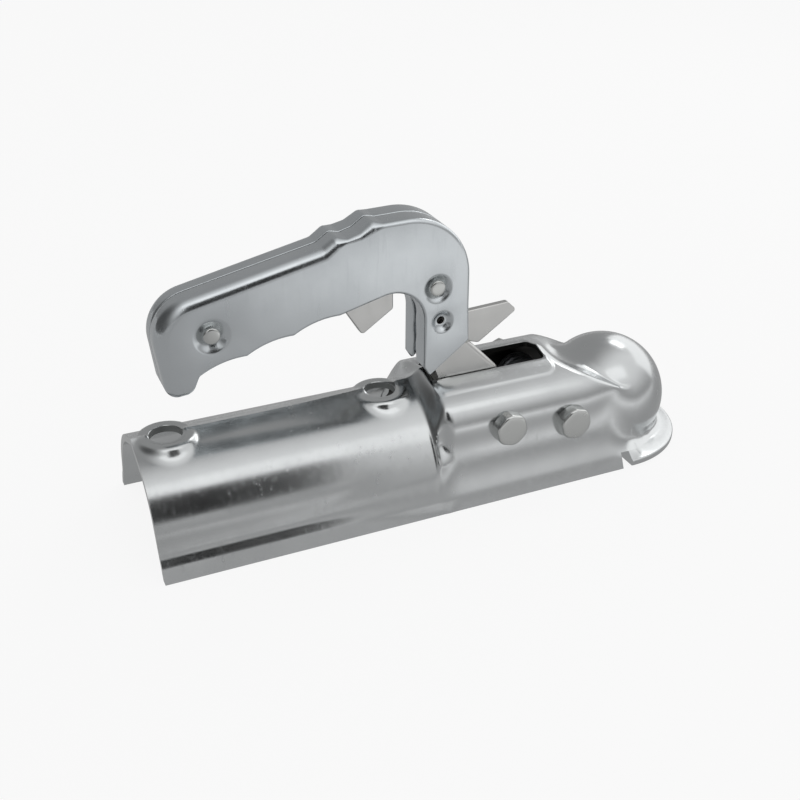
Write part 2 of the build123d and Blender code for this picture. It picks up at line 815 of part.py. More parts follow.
catch_rear_x = neck_rear_x + shell_sheet + catch_neck_gap
with BuildSketch(side()) as catch_outline:
    with BuildLine():
        FilletPolyline(
            (trigger_tip_x, trigger_tip_z),
            (trigger_front_x, trigger_front_z),
            (trigger_front_x, crook_z),
            (catch_rear_x, crook_z - crook_r),
            (catch_rear_x, cut_front_z),
            (prong_foot_x, prong_foot_z),
            (prong_tip_x, prong_tip_z),
            (prong_tip_x - prong_point, prong_tip_z + prong_point),
            (neck_front_x, prong_top_z),
            (cheek_front_x - cheek, prong_top_z),
            (neck_rivet_x + catch_rim, neck_rivet_z),
            (neck_rivet_x + catch_rim, neck_rivet_z + catch_rim),
            (trigger_front_x, crook_z + catch_rim),
            (trigger_rear_x, trigger_rear_z),
            radius=catch_corner_r,
            close=True,
        )
    make_face()
    with Locations((neck_rivet_x, neck_rivet_z)):
        Circle(rivet_r + rivet_gap, mode=Mode.SUBTRACT)
with BuildPart() as catch_plate:
    extrude(catch_outline.sketch, amount=catch_half, both=True)
catch_plate.part.label = "catch_plate"
export_step(catch_plate.part, "parts/catch_plate.step")

# Springs
jaw_coil_r = bush_r + coil_slip + jaw_wire_d / 2
with BuildPart() as jaw_spring:
    add(coil(jaw_x, jaw_z, jaw_half + 2 * coil_slip, jaw_coil_r, jaw_wire_d, jaw_spring_turns))
jaw_spring.part.label = "jaw_spring"
export_step(jaw_spring.part, "parts/jaw_spring.step")

catch_coil_r = spacer_r + coil_slip + catch_wire_d / 2
with BuildPart() as catch_spring:
    add(
        coil(
            neck_rivet_x,
            neck_rivet_z,
            catch_half + coil_slip,
            catch_coil_r,
            catch_wire_d,
            catch_spring_turns,
        )
    )
catch_spring.part.label = "catch_spring"
export_step(catch_spring.part, "parts/catch_spring.step")
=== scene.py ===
"""Trailer coupling head dressed for a studio picture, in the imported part's own frame.

Sizes in the classes below are millimetres in the part's frame: the origin is the ball's centre,
X runs forward along the drawbar, Y to the left and Z up. They become metres where a mesh is made.
"""

import logging
from contextlib import contextmanager
from dataclasses import dataclass
from enum import Enum
from typing import Iterator

import bmesh
import bpy
import numpy as np
from mathutils import Matrix, Vector


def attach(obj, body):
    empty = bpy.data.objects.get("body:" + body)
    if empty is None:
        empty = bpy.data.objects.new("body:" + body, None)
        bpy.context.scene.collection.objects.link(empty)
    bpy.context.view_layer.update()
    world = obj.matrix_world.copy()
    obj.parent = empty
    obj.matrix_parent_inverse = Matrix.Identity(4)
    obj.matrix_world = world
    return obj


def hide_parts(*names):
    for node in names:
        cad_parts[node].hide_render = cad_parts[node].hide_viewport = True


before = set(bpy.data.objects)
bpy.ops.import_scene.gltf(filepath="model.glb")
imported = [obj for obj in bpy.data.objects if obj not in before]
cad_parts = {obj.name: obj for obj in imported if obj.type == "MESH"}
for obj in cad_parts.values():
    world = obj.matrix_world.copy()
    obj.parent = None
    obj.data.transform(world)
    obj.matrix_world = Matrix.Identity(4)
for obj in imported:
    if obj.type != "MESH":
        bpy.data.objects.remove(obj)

log = logging.getLogger("coupling_head")

Array = np.ndarray
Piece = bpy.types.Object
Tree = bpy.types.NodeTree
Socket = bpy.types.NodeSocket
Span = tuple[float, float]
Triple = tuple[float, float, float]

MM = 0.001
MIRROR = np.array([1.0, -1.0, 1.0])
UP = np.array([0.0, 0.0, 1.0])


class Body(str, Enum):
    """The moving bodies of the part."""

    HOUSING = "housing"
    HANDLE = "handle"
    CATCH = "catch"
    JAW = "jaw"


class Slot(str, Enum):
    """The record's material slots."""

    SHEET = "zinc_sheet"
    BOLT = "zinc_bolt"
    LEVER = "lever_steel"
    JAW = "jaw_iron"
    BUSH = "bush_steel"
    SPRING = "spring_steel"


def ease(low: float, high: float, x: Array) -> Array:
    """Smooth step from 0 at low to 1 at high.

    Args:
        low: Where the step starts.
        high: Where the step ends.
        x: Array of positions.

    Returns:
        Array of values from 0 to 1.
    """
    t = np.clip((x - low) / (high - low), 0.0, 1.0)
    return t * t * (3.0 - 2.0 * t)


def mix(a: Array | float, b: Array | float, t: Array | float) -> Array:
    """Straight blend, from a where t is 0 to b where t is 1."""
    return a + (b - a) * t


def unit(vectors: Array) -> Array:
    """The vectors brought to length 1."""
    return vectors / np.maximum(np.linalg.norm(vectors, axis=-1, keepdims=True), 1e-9)


def round_meet(a: Array, b: Array, r: Array | float) -> Array:
    """Signed gap of the common part of two solids, its outer edge rounded.

    Args:
        a: Signed gap from the first solid.
        b: Signed gap from the second solid.
        r: Radius of the rounded edge.

    Returns:
        Array of signed gaps.
    """
    corner = np.hypot(np.maximum(r + a, 0.0), np.maximum(r + b, 0.0))
    return np.minimum(-r, np.maximum(a, b)) + corner


def round_join(a: Array, b: Array, r: Array | float) -> Array:
    """Signed gap of two solids together, the inside corner between them filled.

    Args:
        a: Signed gap from the first solid.
        b: Signed gap from the second solid.
        r: Radius of the filled corner.

    Returns:
        Array of signed gaps.
    """
    corner = np.hypot(np.maximum(r - a, 0.0), np.maximum(r - b, 0.0))
    return np.maximum(r, np.minimum(a, b)) - corner


def rounded_box(past_x: Array, past_y: Array, r: float) -> Array:
    """Signed gap from a box with rounded corners.

    Args:
        past_x: How far points lie past the side across X, negative inside.
        past_y: How far points lie past the side across Y, negative inside.
        r: Radius of the corners.

    Returns:
        Array of signed gaps.
    """
    over_x, over_y = past_x + r, past_y + r
    outside = np.hypot(np.maximum(over_x, 0.0), np.maximum(over_y, 0.0))
    return outside + np.minimum(np.maximum(over_x, over_y), 0.0) - r


def graded(*spans: Triple) -> Array:
    """Positions along a line, with a spacing of its own in each span.

    Args:
        spans: Start, end and spacing of each span, which starts where the last one ended.

    Returns:
        Array of positions, without repeats.
    """
    runs = [
        np.linspace(a, b, max(int(round(abs(b - a) / step)), 1), endpoint=False)
        for a, b, step in spans
    ]
    return np.concatenate(runs + [np.array([spans[-1][1]])])


def grid(x: Array | float, y: Array | float, z: Array | float) -> Array:
    """Points from three coordinates, each spread over the grid that they share."""
    return np.stack(np.broadcast_arrays(x, y, z), axis=-1)


def turned(reach: Array, steps: int) -> tuple[Array, Array]:
    """Carries a profile round a full turn: its reach times the cosine and the sine of the angle.

    Args:
        reach: Distance from the axis, one row for each point of the profile.
        steps: Number of steps in the turn.

    Returns:
        The two coordinates across the axis, as grids.
    """
    angle = np.linspace(0.0, 2.0 * np.pi, steps, endpoint=False)
    rows = reach.reshape(len(reach), -1)
    return rows * np.cos(angle), rows * np.sin(angle)


def at_corners(cells: Array, mode: str) -> Array:
    """The four cells round each corner of a grid.

    Args:
        cells: Grid of values, one for each cell.
        mode: How numpy pads the grid at its sides.

    Returns:
        Four grids with one value for each corner.
    """
    padded = np.pad(cells, 1, mode=mode)
    return np.stack([padded[:-1, :-1], padded[1:, :-1], padded[:-1, 1:], padded[1:, 1:]])


def grid_faces(rows: int, columns: int, closed: bool = False, looped: bool = False) -> Array:
    """Quads of a grid whose vertices run row by row.

    Args:
        rows: Number of rows of vertices.
        columns: Number of vertices in a row.
        closed: Whether the last column joins the first.
        looped: Whether the last row joins the first.

    Returns:
        Integer array of quads, one per line.
    """
    index = np.arange(rows * columns).reshape(rows, columns)
    index = np.pad(index, ((0, int(looped)), (0, int(closed))), mode="wrap")
    quads = [index[:-1, :-1], index[:-1, 1:], index[1:, 1:], index[1:, :-1]]
    return np.stack(quads, axis=-1).reshape(-1, 4)


def linked(name: str, data: bpy.types.ID) -> Piece:
    """A new object at the origin, linked to the scene.

    Args:
        name: Name of the object.
        data: Its mesh, lamp or camera.

    Returns:
        The new object.
    """
    made = bpy.data.objects.new(name, data)
    bpy.context.scene.collection.objects.link(made)
    return made


def loose_piece(name: str, points: Array, faces: Array | list) -> Piece:
    """A mesh object at the origin from points in millimetres, as they are.

    Args:
        name: Name of the piece.
        points: Array of points, one per line.
        faces: Vertex numbers of each face.

    Returns:
        The new object.
    """
    mesh = bpy.data.meshes.new(name)
    mesh.from_pydata((points * MM).tolist(), [], [list(face) for face in faces])
    return linked(name, mesh)


@contextmanager
def edited(mesh: bpy.types.Mesh, sharp: float) -> Iterator[bmesh.types.BMesh]:
    """Opens a mesh for editing and writes it back, shaded smooth between its sharp edges.

    Args:
        mesh: The mesh to edit.
        sharp: Edges that turn more than this many degrees stay sharp.

    Yields:
        The mesh while it is open.
    """
    work = bmesh.new()
    work.from_mesh(mesh)
    yield work
    work.to_mesh(mesh)
    work.free()
    mesh.shade_smooth()
    mesh.set_sharp_from_angle(angle=np.radians(sharp))


def mesh_piece(name: str, points: Array, faces: Array | list, sharp: float = 40.0) -> Piece:
    """A mesh object at the origin, with doubled points merged and faces turned outward.

    Args:
        name: Name of the piece.
        points: Array of points in millimetres, one per line.
        faces: Vertex numbers of each face.
        sharp: Edges that turn more than this many degrees stay sharp.

    Returns:
        The new object.
    """
    piece = loose_piece(name, points, faces)
    with edited(piece.data, sharp) as work:
        bmesh.ops.remove_doubles(work, verts=work.verts, dist=2e-6)
        bmesh.ops.dissolve_degenerate(work, edges=work.edges, dist=1e-7)
        bmesh.ops.recalc_face_normals(work, faces=work.faces)
    return piece


def face_vectors(piece: Piece, key: str) -> Array:
    """One vector of every face.

    Args:
        piece: The object.
        key: Which vector, such as center or normal.

    Returns:
        Array of vectors, one per line.
    """
    values = np.empty(3 * len(piece.data.polygons))
    piece.data.polygons.foreach_get(key, values)
    return values.reshape(-1, 3)


def face_finish(piece: Piece, choice: Array) -> None:
    """Gives every face one of the piece's finishes, by its number."""
    piece.data.polygons.foreach_set("material_index", choice.astype(np.int32))


def compute(tree: Tree, operation: str, *terms: Socket | float) -> Socket:
    """One arithmetic step on sockets or plain numbers.

    Args:
        tree: Node tree of the material.
        operation: Name of the operation.
        terms: Sockets or numbers.

    Returns:
        The result socket.
    """
    step = tree.nodes.new("ShaderNodeMath")
    step.operation = operation
    for socket, term in zip(step.inputs, terms):
        if isinstance(term, float):
            socket.default_value = term
        else:
            tree.links.new(term, socket)
    return step.outputs["Value"]


def remap(
    tree: Tree, value: Socket, source: Span, target: Span = (0.0, 1.0), kind: str = "LINEAR"
) -> Socket:
    """Carries a value from one span to another.

    Args:
        tree: Node tree of the material.
        value: Socket to remap.
        source: Span of the value.
        target: Span of the result.
        kind: How it runs between the ends.

    Returns:
        The result socket.
    """
    step = tree.nodes.new("ShaderNodeMapRange")
    step.interpolation_type = kind
    ends = ("From Min", "From Max", "To Min", "To Max")
    for end, level in zip(ends, (*source, *target)):
        step.inputs[end].default_value = level
    tree.links.new(value, step.inputs["Value"])
    return step.outputs["Result"]


def seen_by(tree: Tree, *rays: str) -> Socket:
    """Tells some kinds of ray from the rest.

    Args:
        tree: Node tree of the material or world.
        rays: Kinds of ray.

    Returns:
        Socket that is 1 for these rays and 0 for others.
    """
    path = tree.nodes.new("ShaderNodeLightPath")
    seen, *others = [path.outputs[f"Is {ray} Ray"] for ray in rays]
    for other in others:
        seen = compute(tree, "MAXIMUM", seen, other)
    return seen


@dataclass(frozen=True)
class MetalFinish:
    """A plated or bare metal: tint, sheen, cloudy patches and fine marks.

    All of them come from the piece's own coordinates.
    """

    name: str
    tint: Triple
    patch: Triple
    sheen: float
    sheen_spread: float = 0.10
    grain: Triple = (500.0, 500.0, 60.0)
    marks: float = 0.25
    cloud_scale: float = 38.0
    fine_scale: float = 900.0
    mark_depth: float = 0.04

    def _noise(self, tree: Tree, place: Socket, stretch: Triple, detail: float) -> Socket:
        """Noise on stretched object coordinates.

        Args:
            tree: Node tree of the material.
            place: Socket with the coordinates.
            stretch: Scale along each axis.
            detail: Detail of the noise.

        Returns:
            The factor socket of the noise.
        """
        mapping = tree.nodes.new("ShaderNodeMapping")
        mapping.inputs["Scale"].default_value = stretch
        tree.links.new(place, mapping.inputs["Vector"])
        noise = tree.nodes.new("ShaderNodeTexNoise")
        noise.inputs["Scale"].default_value = 1.0
        noise.inputs["Detail"].default_value = detail
        tree.links.new(mapping.outputs["Vector"], noise.inputs["Vector"])
        return noise.outputs["Fac"]

    def material(self) -> bpy.types.Material:
        """Builds the material once.

        Clouds choose between the tint and the patch and dull the sheen, streaks dull it further,
        and streaks with half as much fine noise make a shallow bump.

        Returns:
            The material.
        """
        found = bpy.data.materials.get(self.name)
        if found is not None:
            return found
        made = bpy.data.materials.new(self.name)
        made.use_nodes = True
        tree = made.node_tree
        shader = tree.nodes["Principled BSDF"]
        shader.inputs["Metallic"].default_value = 1.0
        place = tree.nodes.new("ShaderNodeTexCoord").outputs["Object"]
        cloud = self._noise(tree, place, (self.cloud_scale,) * 3, 4.0)
        fine = self._noise(tree, place, (self.fine_scale,) * 3, 3.0)
        streak = self._noise(tree, place, self.grain, 2.0)
        blend = tree.nodes.new("ShaderNodeMix")
        blend.data_type = "RGBA"
        blend.inputs["A"].default_value = (*self.tint, 1.0)
        blend.inputs["B"].default_value = (*self.patch, 1.0)
        tree.links.new(remap(tree, cloud, (0.35, 0.70)), blend.inputs["Factor"])
        tree.links.new(blend.outputs["Result"], shader.inputs["Base Color"])
        clouded = remap(tree, cloud, (0.3, 0.7), (self.sheen, self.sheen + self.sheen_spread))
        streaked = remap(tree, streak, (0.55, 0.75), (0.0, self.marks * 0.25))
        rough = compute(tree, "ADD", clouded, streaked)
        tree.links.new(rough, shader.inputs["Roughness"])
        bump = tree.nodes.new("ShaderNodeBump")
        bump.inputs["Strength"].default_value = self.marks
        bump.inputs["Distance"].default_value = self.mark_depth * MM
        height = compute(tree, "MULTIPLY_ADD", fine, 0.5, streak)
        tree.links.new(height, bump.inputs["Height"])
        tree.links.new(bump.outputs["Normal"], shader.inputs["Normal"])
        return made

    def dress(self, piece: Piece, slot: Slot) -> None:
        """Gives a piece this finish.

        Args:
            piece: The object to dress.
            slot: The record's slot; not used.
        """
        piece.data.materials.clear()
        piece.data.materials.append(self.material())


SHEET_ZINC = MetalFinish("sheet_zinc", (0.60, 0.615, 0.62), (0.55, 0.565, 0.57), 0.17, 0.07)
HANDLE_ZINC = MetalFinish("handle_zinc", (0.60, 0.63, 0.65), (0.55, 0.58, 0.60), 0.19, 0.07)
BOLT_ZINC = MetalFinish(
    "bolt_zinc", (0.60, 0.61, 0.60), (0.54, 0.55, 0.54), 0.20, 0.08, (300.0, 300.0, 300.0), 0.2
)
LEVER_ZINC = MetalFinish("lever_zinc", (0.60, 0.60, 0.59), (0.55, 0.55, 0.54), 0.26, 0.08)
JAW_IRON = MetalFinish(
    "jaw_iron", (0.07, 0.07, 0.075), (0.05, 0.05, 0.055), 0.48, 0.12, (220.0, 220.0, 220.0), 0.5
)
BUSH_STEEL = MetalFinish("bush_steel", (0.14, 0.14, 0.145), (0.09, 0.09, 0.095), 0.38)
SPRING_STEEL = MetalFinish("spring_steel", (0.10, 0.10, 0.11), (0.07, 0.07, 0.08), 0.36)
CUT_ZINC = MetalFinish("cut_zinc", (0.30, 0.31, 0.31), (0.24, 0.25, 0.25), 0.55, 0.05)
# Near-black rough zinc for the inside of the head: partly real grease, partly painted shade where
# little light reaches the slot and the ball socket.
GREASE_AND_SHADE_ZINC = MetalFinish(
    "grease_and_painted_shade_zinc", (0.050, 0.050, 0.048), (0.030, 0.030, 0.029), 0.45, 0.12
)


@dataclass
class Housing:
    """The pressed housing: saddle for the drawbar tube, waist, deck with its slot, and dome.

    A span is where one form turns into the next, mostly along X.
    """

    sheet: float = 3.0
    rear_x: float = -214.0
    base_z: float = -17.0

    saddle_r: float = 33.25
    saddle_z: float = -10.0
    saddle_shoulder_r: float = 0.3
    waist_half: float = 26.0
    waist_in: Span = (-100.5, -95.0)
    waist_out: Span = (-94.4, -88.5)
    waist_rise: Span = (1.0, 9.0)
    wall_half: float = 28.75
    wall_turn: Span = (-101.5, -88.0)
    deck_z: float = 29.25
    deck_turn: Span = (-98.5, -90.5)
    deck_crown_r: float = 50.0
    crown_turn: Span = (-99.0, -90.0)
    shoulder_r: float = 6.5
    shoulder_turn: Span = (-97.0, -89.0)

    flange_reach: float = 39.0
    flange_end_x: float = -11.1
    head_splay: float = 25.5
    splay_slope: float = 45.0
    strip_lean: float = 25.0
    crease_r: float = 0.5
    root_r: float = 9.5
    saddle_root_r: float = 3.0
    root_turn: Span = (-165.0, -84.0)
    brim_root: float = 31.5
    brim_root_r: float = 5.0
    brim_z: float = -14.0
    brim_turn: Span = (-16.0, 12.0)

    hole_rear_x: float = -200.5
    hole_front_x: float = -110.5
    hole_r: float = 6.75
    pad_r: float = 11.0
    pad_z: float = 24.75
    pad_depth: float = 15.0
    pad_slope: float = 0.60
    pad_square: float = 0.83
    pad_edge_r: float = 1.2
    pad_join_r: float = 1.5

    slot_rear_x: float = -89.4
    slot_front_x: float = -36.4
    slot_half: float = 8.5
    slot_corner_r: float = 2.0
    opening_z: float = 5.0
    opening_edge_r: float = 0.7
    rim_gap: float = 0.03
    rim_turn: Span = (1.0, 6.0)
    rail_half: float = 18.0
    rail_rise: float = 0.35
    rail_edge: float = 0.5
    rail_front_x: float = -35.5
    rail_corner_r: float = 5.0
    rail_start: Span = (-90.0, -88.0)
    rail_height: Span = (12.0, 18.0)

    dome_r: float = 27.5
    dome_sheet: float = 2.1
    dome_turn: Span = (-27.0, 1.0)
    dome_thin: Span = (-20.0, -5.0)
    valley_ring: float = 20.8
    valley_r: float = 12.0
    valley_end_ring: float = 24.3
    valley_end_r: float = 1.2
    valley_turn: Span = (20.0, 85.0)
    lip_r: float = 5.0
    lip_end_r: float = 0.05
    lip_turn: Span = (-24.0, -2.0)

    # Rear end of the near-black inside finish, which is grease and painted shade.
    grease_and_shade_rear_x: float = -96.0
    cut_reach: float = 0.4

    def _arch(self, x: Array, y: Array, z: Array) -> Array:
        """Signed gap from the arch of the saddle, waist and deck, before the dome is worked in.

        The arch is a crown, part of a circle, that meets upright walls in a rounded shoulder.

        Args:
            x: Positions along the drawbar.
            y: Distances from the middle plane.
            z: Heights.

        Returns:
            Array of signed gaps.
        """
        pinched = mix(self.saddle_r, self.waist_half, ease(*self.waist_in, x))
        pinched = pinched + (self.wall_half - self.waist_half) * ease(*self.waist_out, x)
        plain = mix(self.saddle_r, self.wall_half, ease(*self.wall_turn, x))
        half = mix(plain, pinched, ease(*self.waist_rise, z))
        top = mix(self.saddle_z + self.saddle_r, self.deck_z, ease(*self.deck_turn, x))
        crown_r = mix(self.saddle_r, self.deck_crown_r, ease(*self.crown_turn, x))
        shoulder = mix(self.saddle_shoulder_r, self.shoulder_r, ease(*self.shoulder_turn, x))
        crown = np.hypot(y, z - (top - crown_r)) - crown_r
        return round_meet(crown, y - half, shoulder)

    def _valley(self, x: Array, y: Array, z: Array) -> Array:
        """Signed gap from what the valley round the dome leaves standing.

        The valley is a tube that touches the dome and the upright ring behind it; the tube gets
        thinner, and so lies lower, from straight behind the ball to abreast of it.

        Args:
            x: Positions along the drawbar.
            y: Distances from the middle plane.
            z: Heights.

        Returns:
            Array of signed gaps, positive where sheet is pressed down.
        """
        abreast = ease(*self.valley_turn, np.degrees(np.arctan2(y, -x)))
        tube = mix(self.valley_r, self.valley_end_r, abreast)
        ring = mix(self.valley_ring, self.valley_end_ring, abreast)
        level = np.sqrt((self.dome_r + tube) ** 2 - ring**2)
        reach = np.hypot(x, y)
        dome = np.hypot(reach, z) - self.dome_r
        low = tube - np.hypot(reach - ring, z - level)
        floor = np.where(z < level, low, ring + tube - reach)
        return np.where(reach * level < z * ring, dome, floor)

    def skirt(self, along: Array) -> tuple[Array, Array, Array, Array]:
        """The foot of the wall, which splays along the housing and lies flat round the nose.

        Args:
            along: Stations along the housing.

        Returns:
            Reach and height of the splay's end, its slope in radians, and the radius at its root.
        """
        lean = np.tan(np.radians(self.strip_lean))
        crease_z = (self.head_splay - self.flange_reach - lean * self.base_z) / (1.0 - lean)
        flat = ease(*self.brim_turn, along)
        return (
            mix(self.head_splay - crease_z, self.brim_root, flat),
            mix(crease_z, self.brim_z, flat),
            np.radians(mix(self.splay_slope, 0.0, flat)),
            mix(self.root_r, self.brim_root_r, flat),
        )

    def _footed(self, skin: Array, x: Array, y: Array, z: Array) -> Array:
        """Joins the splayed foot, and the steeper strip below its crease, to a wall.

        Args:
            skin: Signed gap from the wall.
            x: Positions along the drawbar.
            y: Distances from the middle plane.
            z: Heights.

        Returns:
            Array of signed gaps.
        """
        reach, level, slope, root_r = self.skirt(x)
        splay = (y - reach) * np.sin(slope) + (z - level) * np.cos(slope)
        lean = np.radians(self.strip_lean)
        strip = np.cos(lean) * (y - self.flange_reach) + np.sin(lean) * (z - self.base_z)
        foot = round_meet(splay, strip, self.crease_r)
        return round_join(skin, foot, mix(self.saddle_root_r, root_r, ease(*self.root_turn, x)))

    def _padded(self, skin: Array, x: Array, y: Array, z: Array) -> Array:
        """Raises the pads round the bolt holes, each a flat top on a flaring foot.

        Args:
            skin: Signed gap from the arch.
            x: Positions along the drawbar.
            y: Distances from the middle plane.
            z: Heights.

        Returns:
            Array of signed gaps.
        """
        drop = np.minimum(self.pad_z - z, self.pad_depth)
        for hole_x in (self.hole_rear_x, self.hole_front_x):
            flare = np.hypot(x - hole_x, y) - self.pad_r - self.pad_slope * drop
            pad = round_meet(z - self.pad_z, flare * self.pad_square, self.pad_edge_r)
            skin = round_join(skin, pad, self.pad_join_r)
        return skin

    def _openings(self, x: Array, y: Array) -> Array:
        """Signed gap from the slot and the two bolt holes seen from above.

        Args:
            x: Positions along the drawbar.
            y: Distances from the middle plane.

        Returns:
            Array of signed gaps, negative inside an opening.
        """
        middle = (self.slot_rear_x + self.slot_front_x) / 2.0
        half = (self.slot_front_x - self.slot_rear_x) / 2.0
        slot = rounded_box(np.abs(x - middle) - half, y - self.slot_half, self.slot_corner_r)
        rear = np.hypot(x - self.hole_rear_x, y) - self.hole_r
        front = np.hypot(x - self.hole_front_x, y) - self.hole_r
        return np.minimum(slot, np.minimum(rear, front))

    def gap(self, points: Array, edges: bool = True) -> Array:
        """Signed gap from the outer skin: positive outside, in millimetres near the skin.

        The arch turns into a cylinder about the X axis towards the ball. It is joined to the
        foot, raised at the rails and the pads, and cut by the valley so that the dome stands
        free. Ahead of the ball's centre the skin is the dome alone.

        Args:
            points: Array whose last axis is X, Y, Z.
            edges: Whether the edges of slot and holes are rounded in.

        Returns:
            Array of signed gaps.
        """
        x, y, z = points[..., 0], np.abs(points[..., 1]), points[..., 2]
        skin = mix(self._arch(x, y, z), np.hypot(y, z) - self.dome_r, ease(*self.dome_turn, x))
        skin = self._footed(skin, x, y, z)
        rail = rounded_box(x - self.rail_front_x, y - self.rail_half, self.rail_corner_r)
        rail = 1.0 - ease(-self.rail_edge, self.rail_edge, rail)
        rail = rail * ease(*self.rail_start, x) * ease(*self.rail_height, z)
        skin = self._padded(skin - self.rail_rise * rail, x, y, z)
        lip = mix(self.lip_r, self.lip_end_r, ease(*self.lip_turn, x))
        skin = round_meet(skin, self._valley(x, y, z), lip)
        if edges:
            cut = round_meet(skin, -self._openings(x, y), self.opening_edge_r)
            skin = np.where(z > self.opening_z, cut, skin)
        return np.where(x < 0.0, skin, np.linalg.norm(points, axis=-1) - self.dome_r)

    def _trace(
        self, origin: Array, heading: Array, start: Array | float, offset: Array | float,
        edges: bool,
    ) -> Array:
        """Walks inward along rays until the skin's signed gap falls to an offset.

        Args:
            origin: Array of ray origins inside the skin.
            heading: Array of unit directions pointing outward.
            start: Distance from the origin at which the walk starts.
            offset: The signed gap to stop at.
            edges: Whether the edges of slot and holes are rounded in.

        Returns:
            Array of distances from the origins.
        """
        steps, share, nearest = 90, 0.7, 0.5
        far = np.broadcast_to(start, heading.shape[:-1])
        for _ in range(steps):
            left = self.gap(origin + heading * far[..., None], edges) - offset
            far = np.maximum(far - share * left, nearest)
        return far

    def _knots(self, along: Array, axis_z: Array, nose: Array) -> Array:
        """Angles round the axis, in degrees, between which the rows of the half grid spread.

        Args:
            along: Stations along the housing.
            axis_z: Height of the rays' origins at each station.
            nose: Which stations turn over the nose.

        Returns:
            Array with a line of angles for each knot, from the flange's tip to the top.
        """
        reach, level, _, _ = self.skirt(along)
        foot = np.degrees(np.arctan2(level - axis_z, reach))
        down = self.brim_z / (self.dome_r * np.cos(np.radians(2.0 * along[nose])))
        foot[nose] = np.degrees(np.arcsin(np.clip(down, -1.0, 1.0)))
        tip = np.degrees(np.arctan2(self.base_z - axis_z, self.flange_reach))
        place = (self.rear_x, -103.0, -90.0, -30.0, -12.0, 0.0, 30.0, 45.0)
        wall_and_top = (
            (7.0, 7.0, 11.5, 11.5, 6.0, -6.0, -52.0, -52.0),
            (34.0, 34.0, 33.5, 33.5, 30.0, 24.0, -10.0, -10.0),
            (54.0, 54.0, 47.5, 47.5, 46.0, 44.0, 25.0, 25.0),
            (65.0, 65.0, 58.3, 58.3, 57.0, 56.0, 45.0, 45.0),
            (67.0, 67.0, 60.6, 60.6, 60.0, 59.0, 49.0, 49.0),
            (77.0, 77.0, 75.6, 75.6, 75.0, 74.0, 70.0, 70.0),
        )
        crease = 0.7
        knots = np.array([
            np.where(nose, -90.0, tip), foot - crease, foot + crease,
            *(np.interp(along, place, angles) for angles in wall_and_top),
            np.full(along.shape, 90.0),
        ])
        knots[3, nose] = mix(foot, knots[4], 0.3)[nose]
        return knots

    def _rays(self) -> tuple[Array, Array, int]:
        """Ray origins and directions of the half grid on the left of the middle plane.

        Rows run from the flange's tip over the side and shoulder to the middle of the top.
        Stations run along the axis to the ball, then turn over the nose, half a unit a degree.

        Returns:
            Origins, directions and the row where the side wall starts.
        """
        straight = graded(
            (self.rear_x, -186.0, 0.75), (-186.0, -126.0, 2.0), (-126.0, -103.0, 0.8),
            (-103.0, -86.0, 0.55), (-86.0, -39.0, 1.3), (-39.0, -34.0, 0.4), (-34.0, 0.0, 0.8),
        )
        along = np.concatenate([straight, np.linspace(0.0, 45.0, 52)[1:]])
        nose = along > 0.0
        axis_z = np.interp(along, (-105.0, -70.0, -40.0, 0.0), (self.saddle_z, -4.0, -4.0, 0.0))
        knots = self._knots(along, axis_z, nose).T
        counts = (7, 2, 14, 12, 12, 7, 3, 9, 11)
        rows = graded(*((k, k + 1.0, 1.0 / count) for k, count in enumerate(counts)))
        floor = np.minimum(rows.astype(int), len(counts) - 1)
        angle = np.radians(mix(knots[:, floor], knots[:, floor + 1], rows - floor))
        over = np.radians(np.where(nose, along * 2.0, 0.0))[:, None]
        heading = grid(np.sin(over), np.cos(over) * np.cos(angle), np.cos(over) * np.sin(angle))
        flat = np.where(nose, 0.0, along)[:, None]
        origin = grid(flat, np.zeros(angle.shape), axis_z[:, None])
        return origin, heading, counts[0] + 1

    def _to_rim(
        self, rays: tuple[Array, Array, Array], skin: Array, spot: Array, rim: Array
    ) -> tuple[Array, Array, Array]:
        """Stands the rays of the rims upright on the edges of the openings.

        Each moves along the slope of the openings' signed gap until it is as good as on the edge.

        Args:
            rays: Origins, directions and distances to the skin.
            skin: Grid of points of the whole skin.
            spot: Signed gap of these points from the openings.
            rim: Which points belong to a rim.

        Returns:
            Origins, directions and distances, changed at the rims.
        """
        origin, heading, far = rays
        step = 0.02
        x, y = skin[..., 0], np.abs(skin[..., 1])
        slope_x = (self._openings(x + step, y) - spot) / step
        slope_y = (self._openings(x, y + step) - spot) / step
        shift = np.where(rim, self.rim_gap - spot, 0.0)
        wide = np.maximum(skin[..., 1] + shift * slope_y, 0.0)
        origin = grid(
            origin[..., 0] + shift * slope_x, np.where(rim, wide, origin[..., 1]), origin[..., 2]
        )
        heading = np.where(rim[..., None], UP, heading)
        return origin, heading, np.where(rim, skin[..., 2] - origin[..., 2], far)

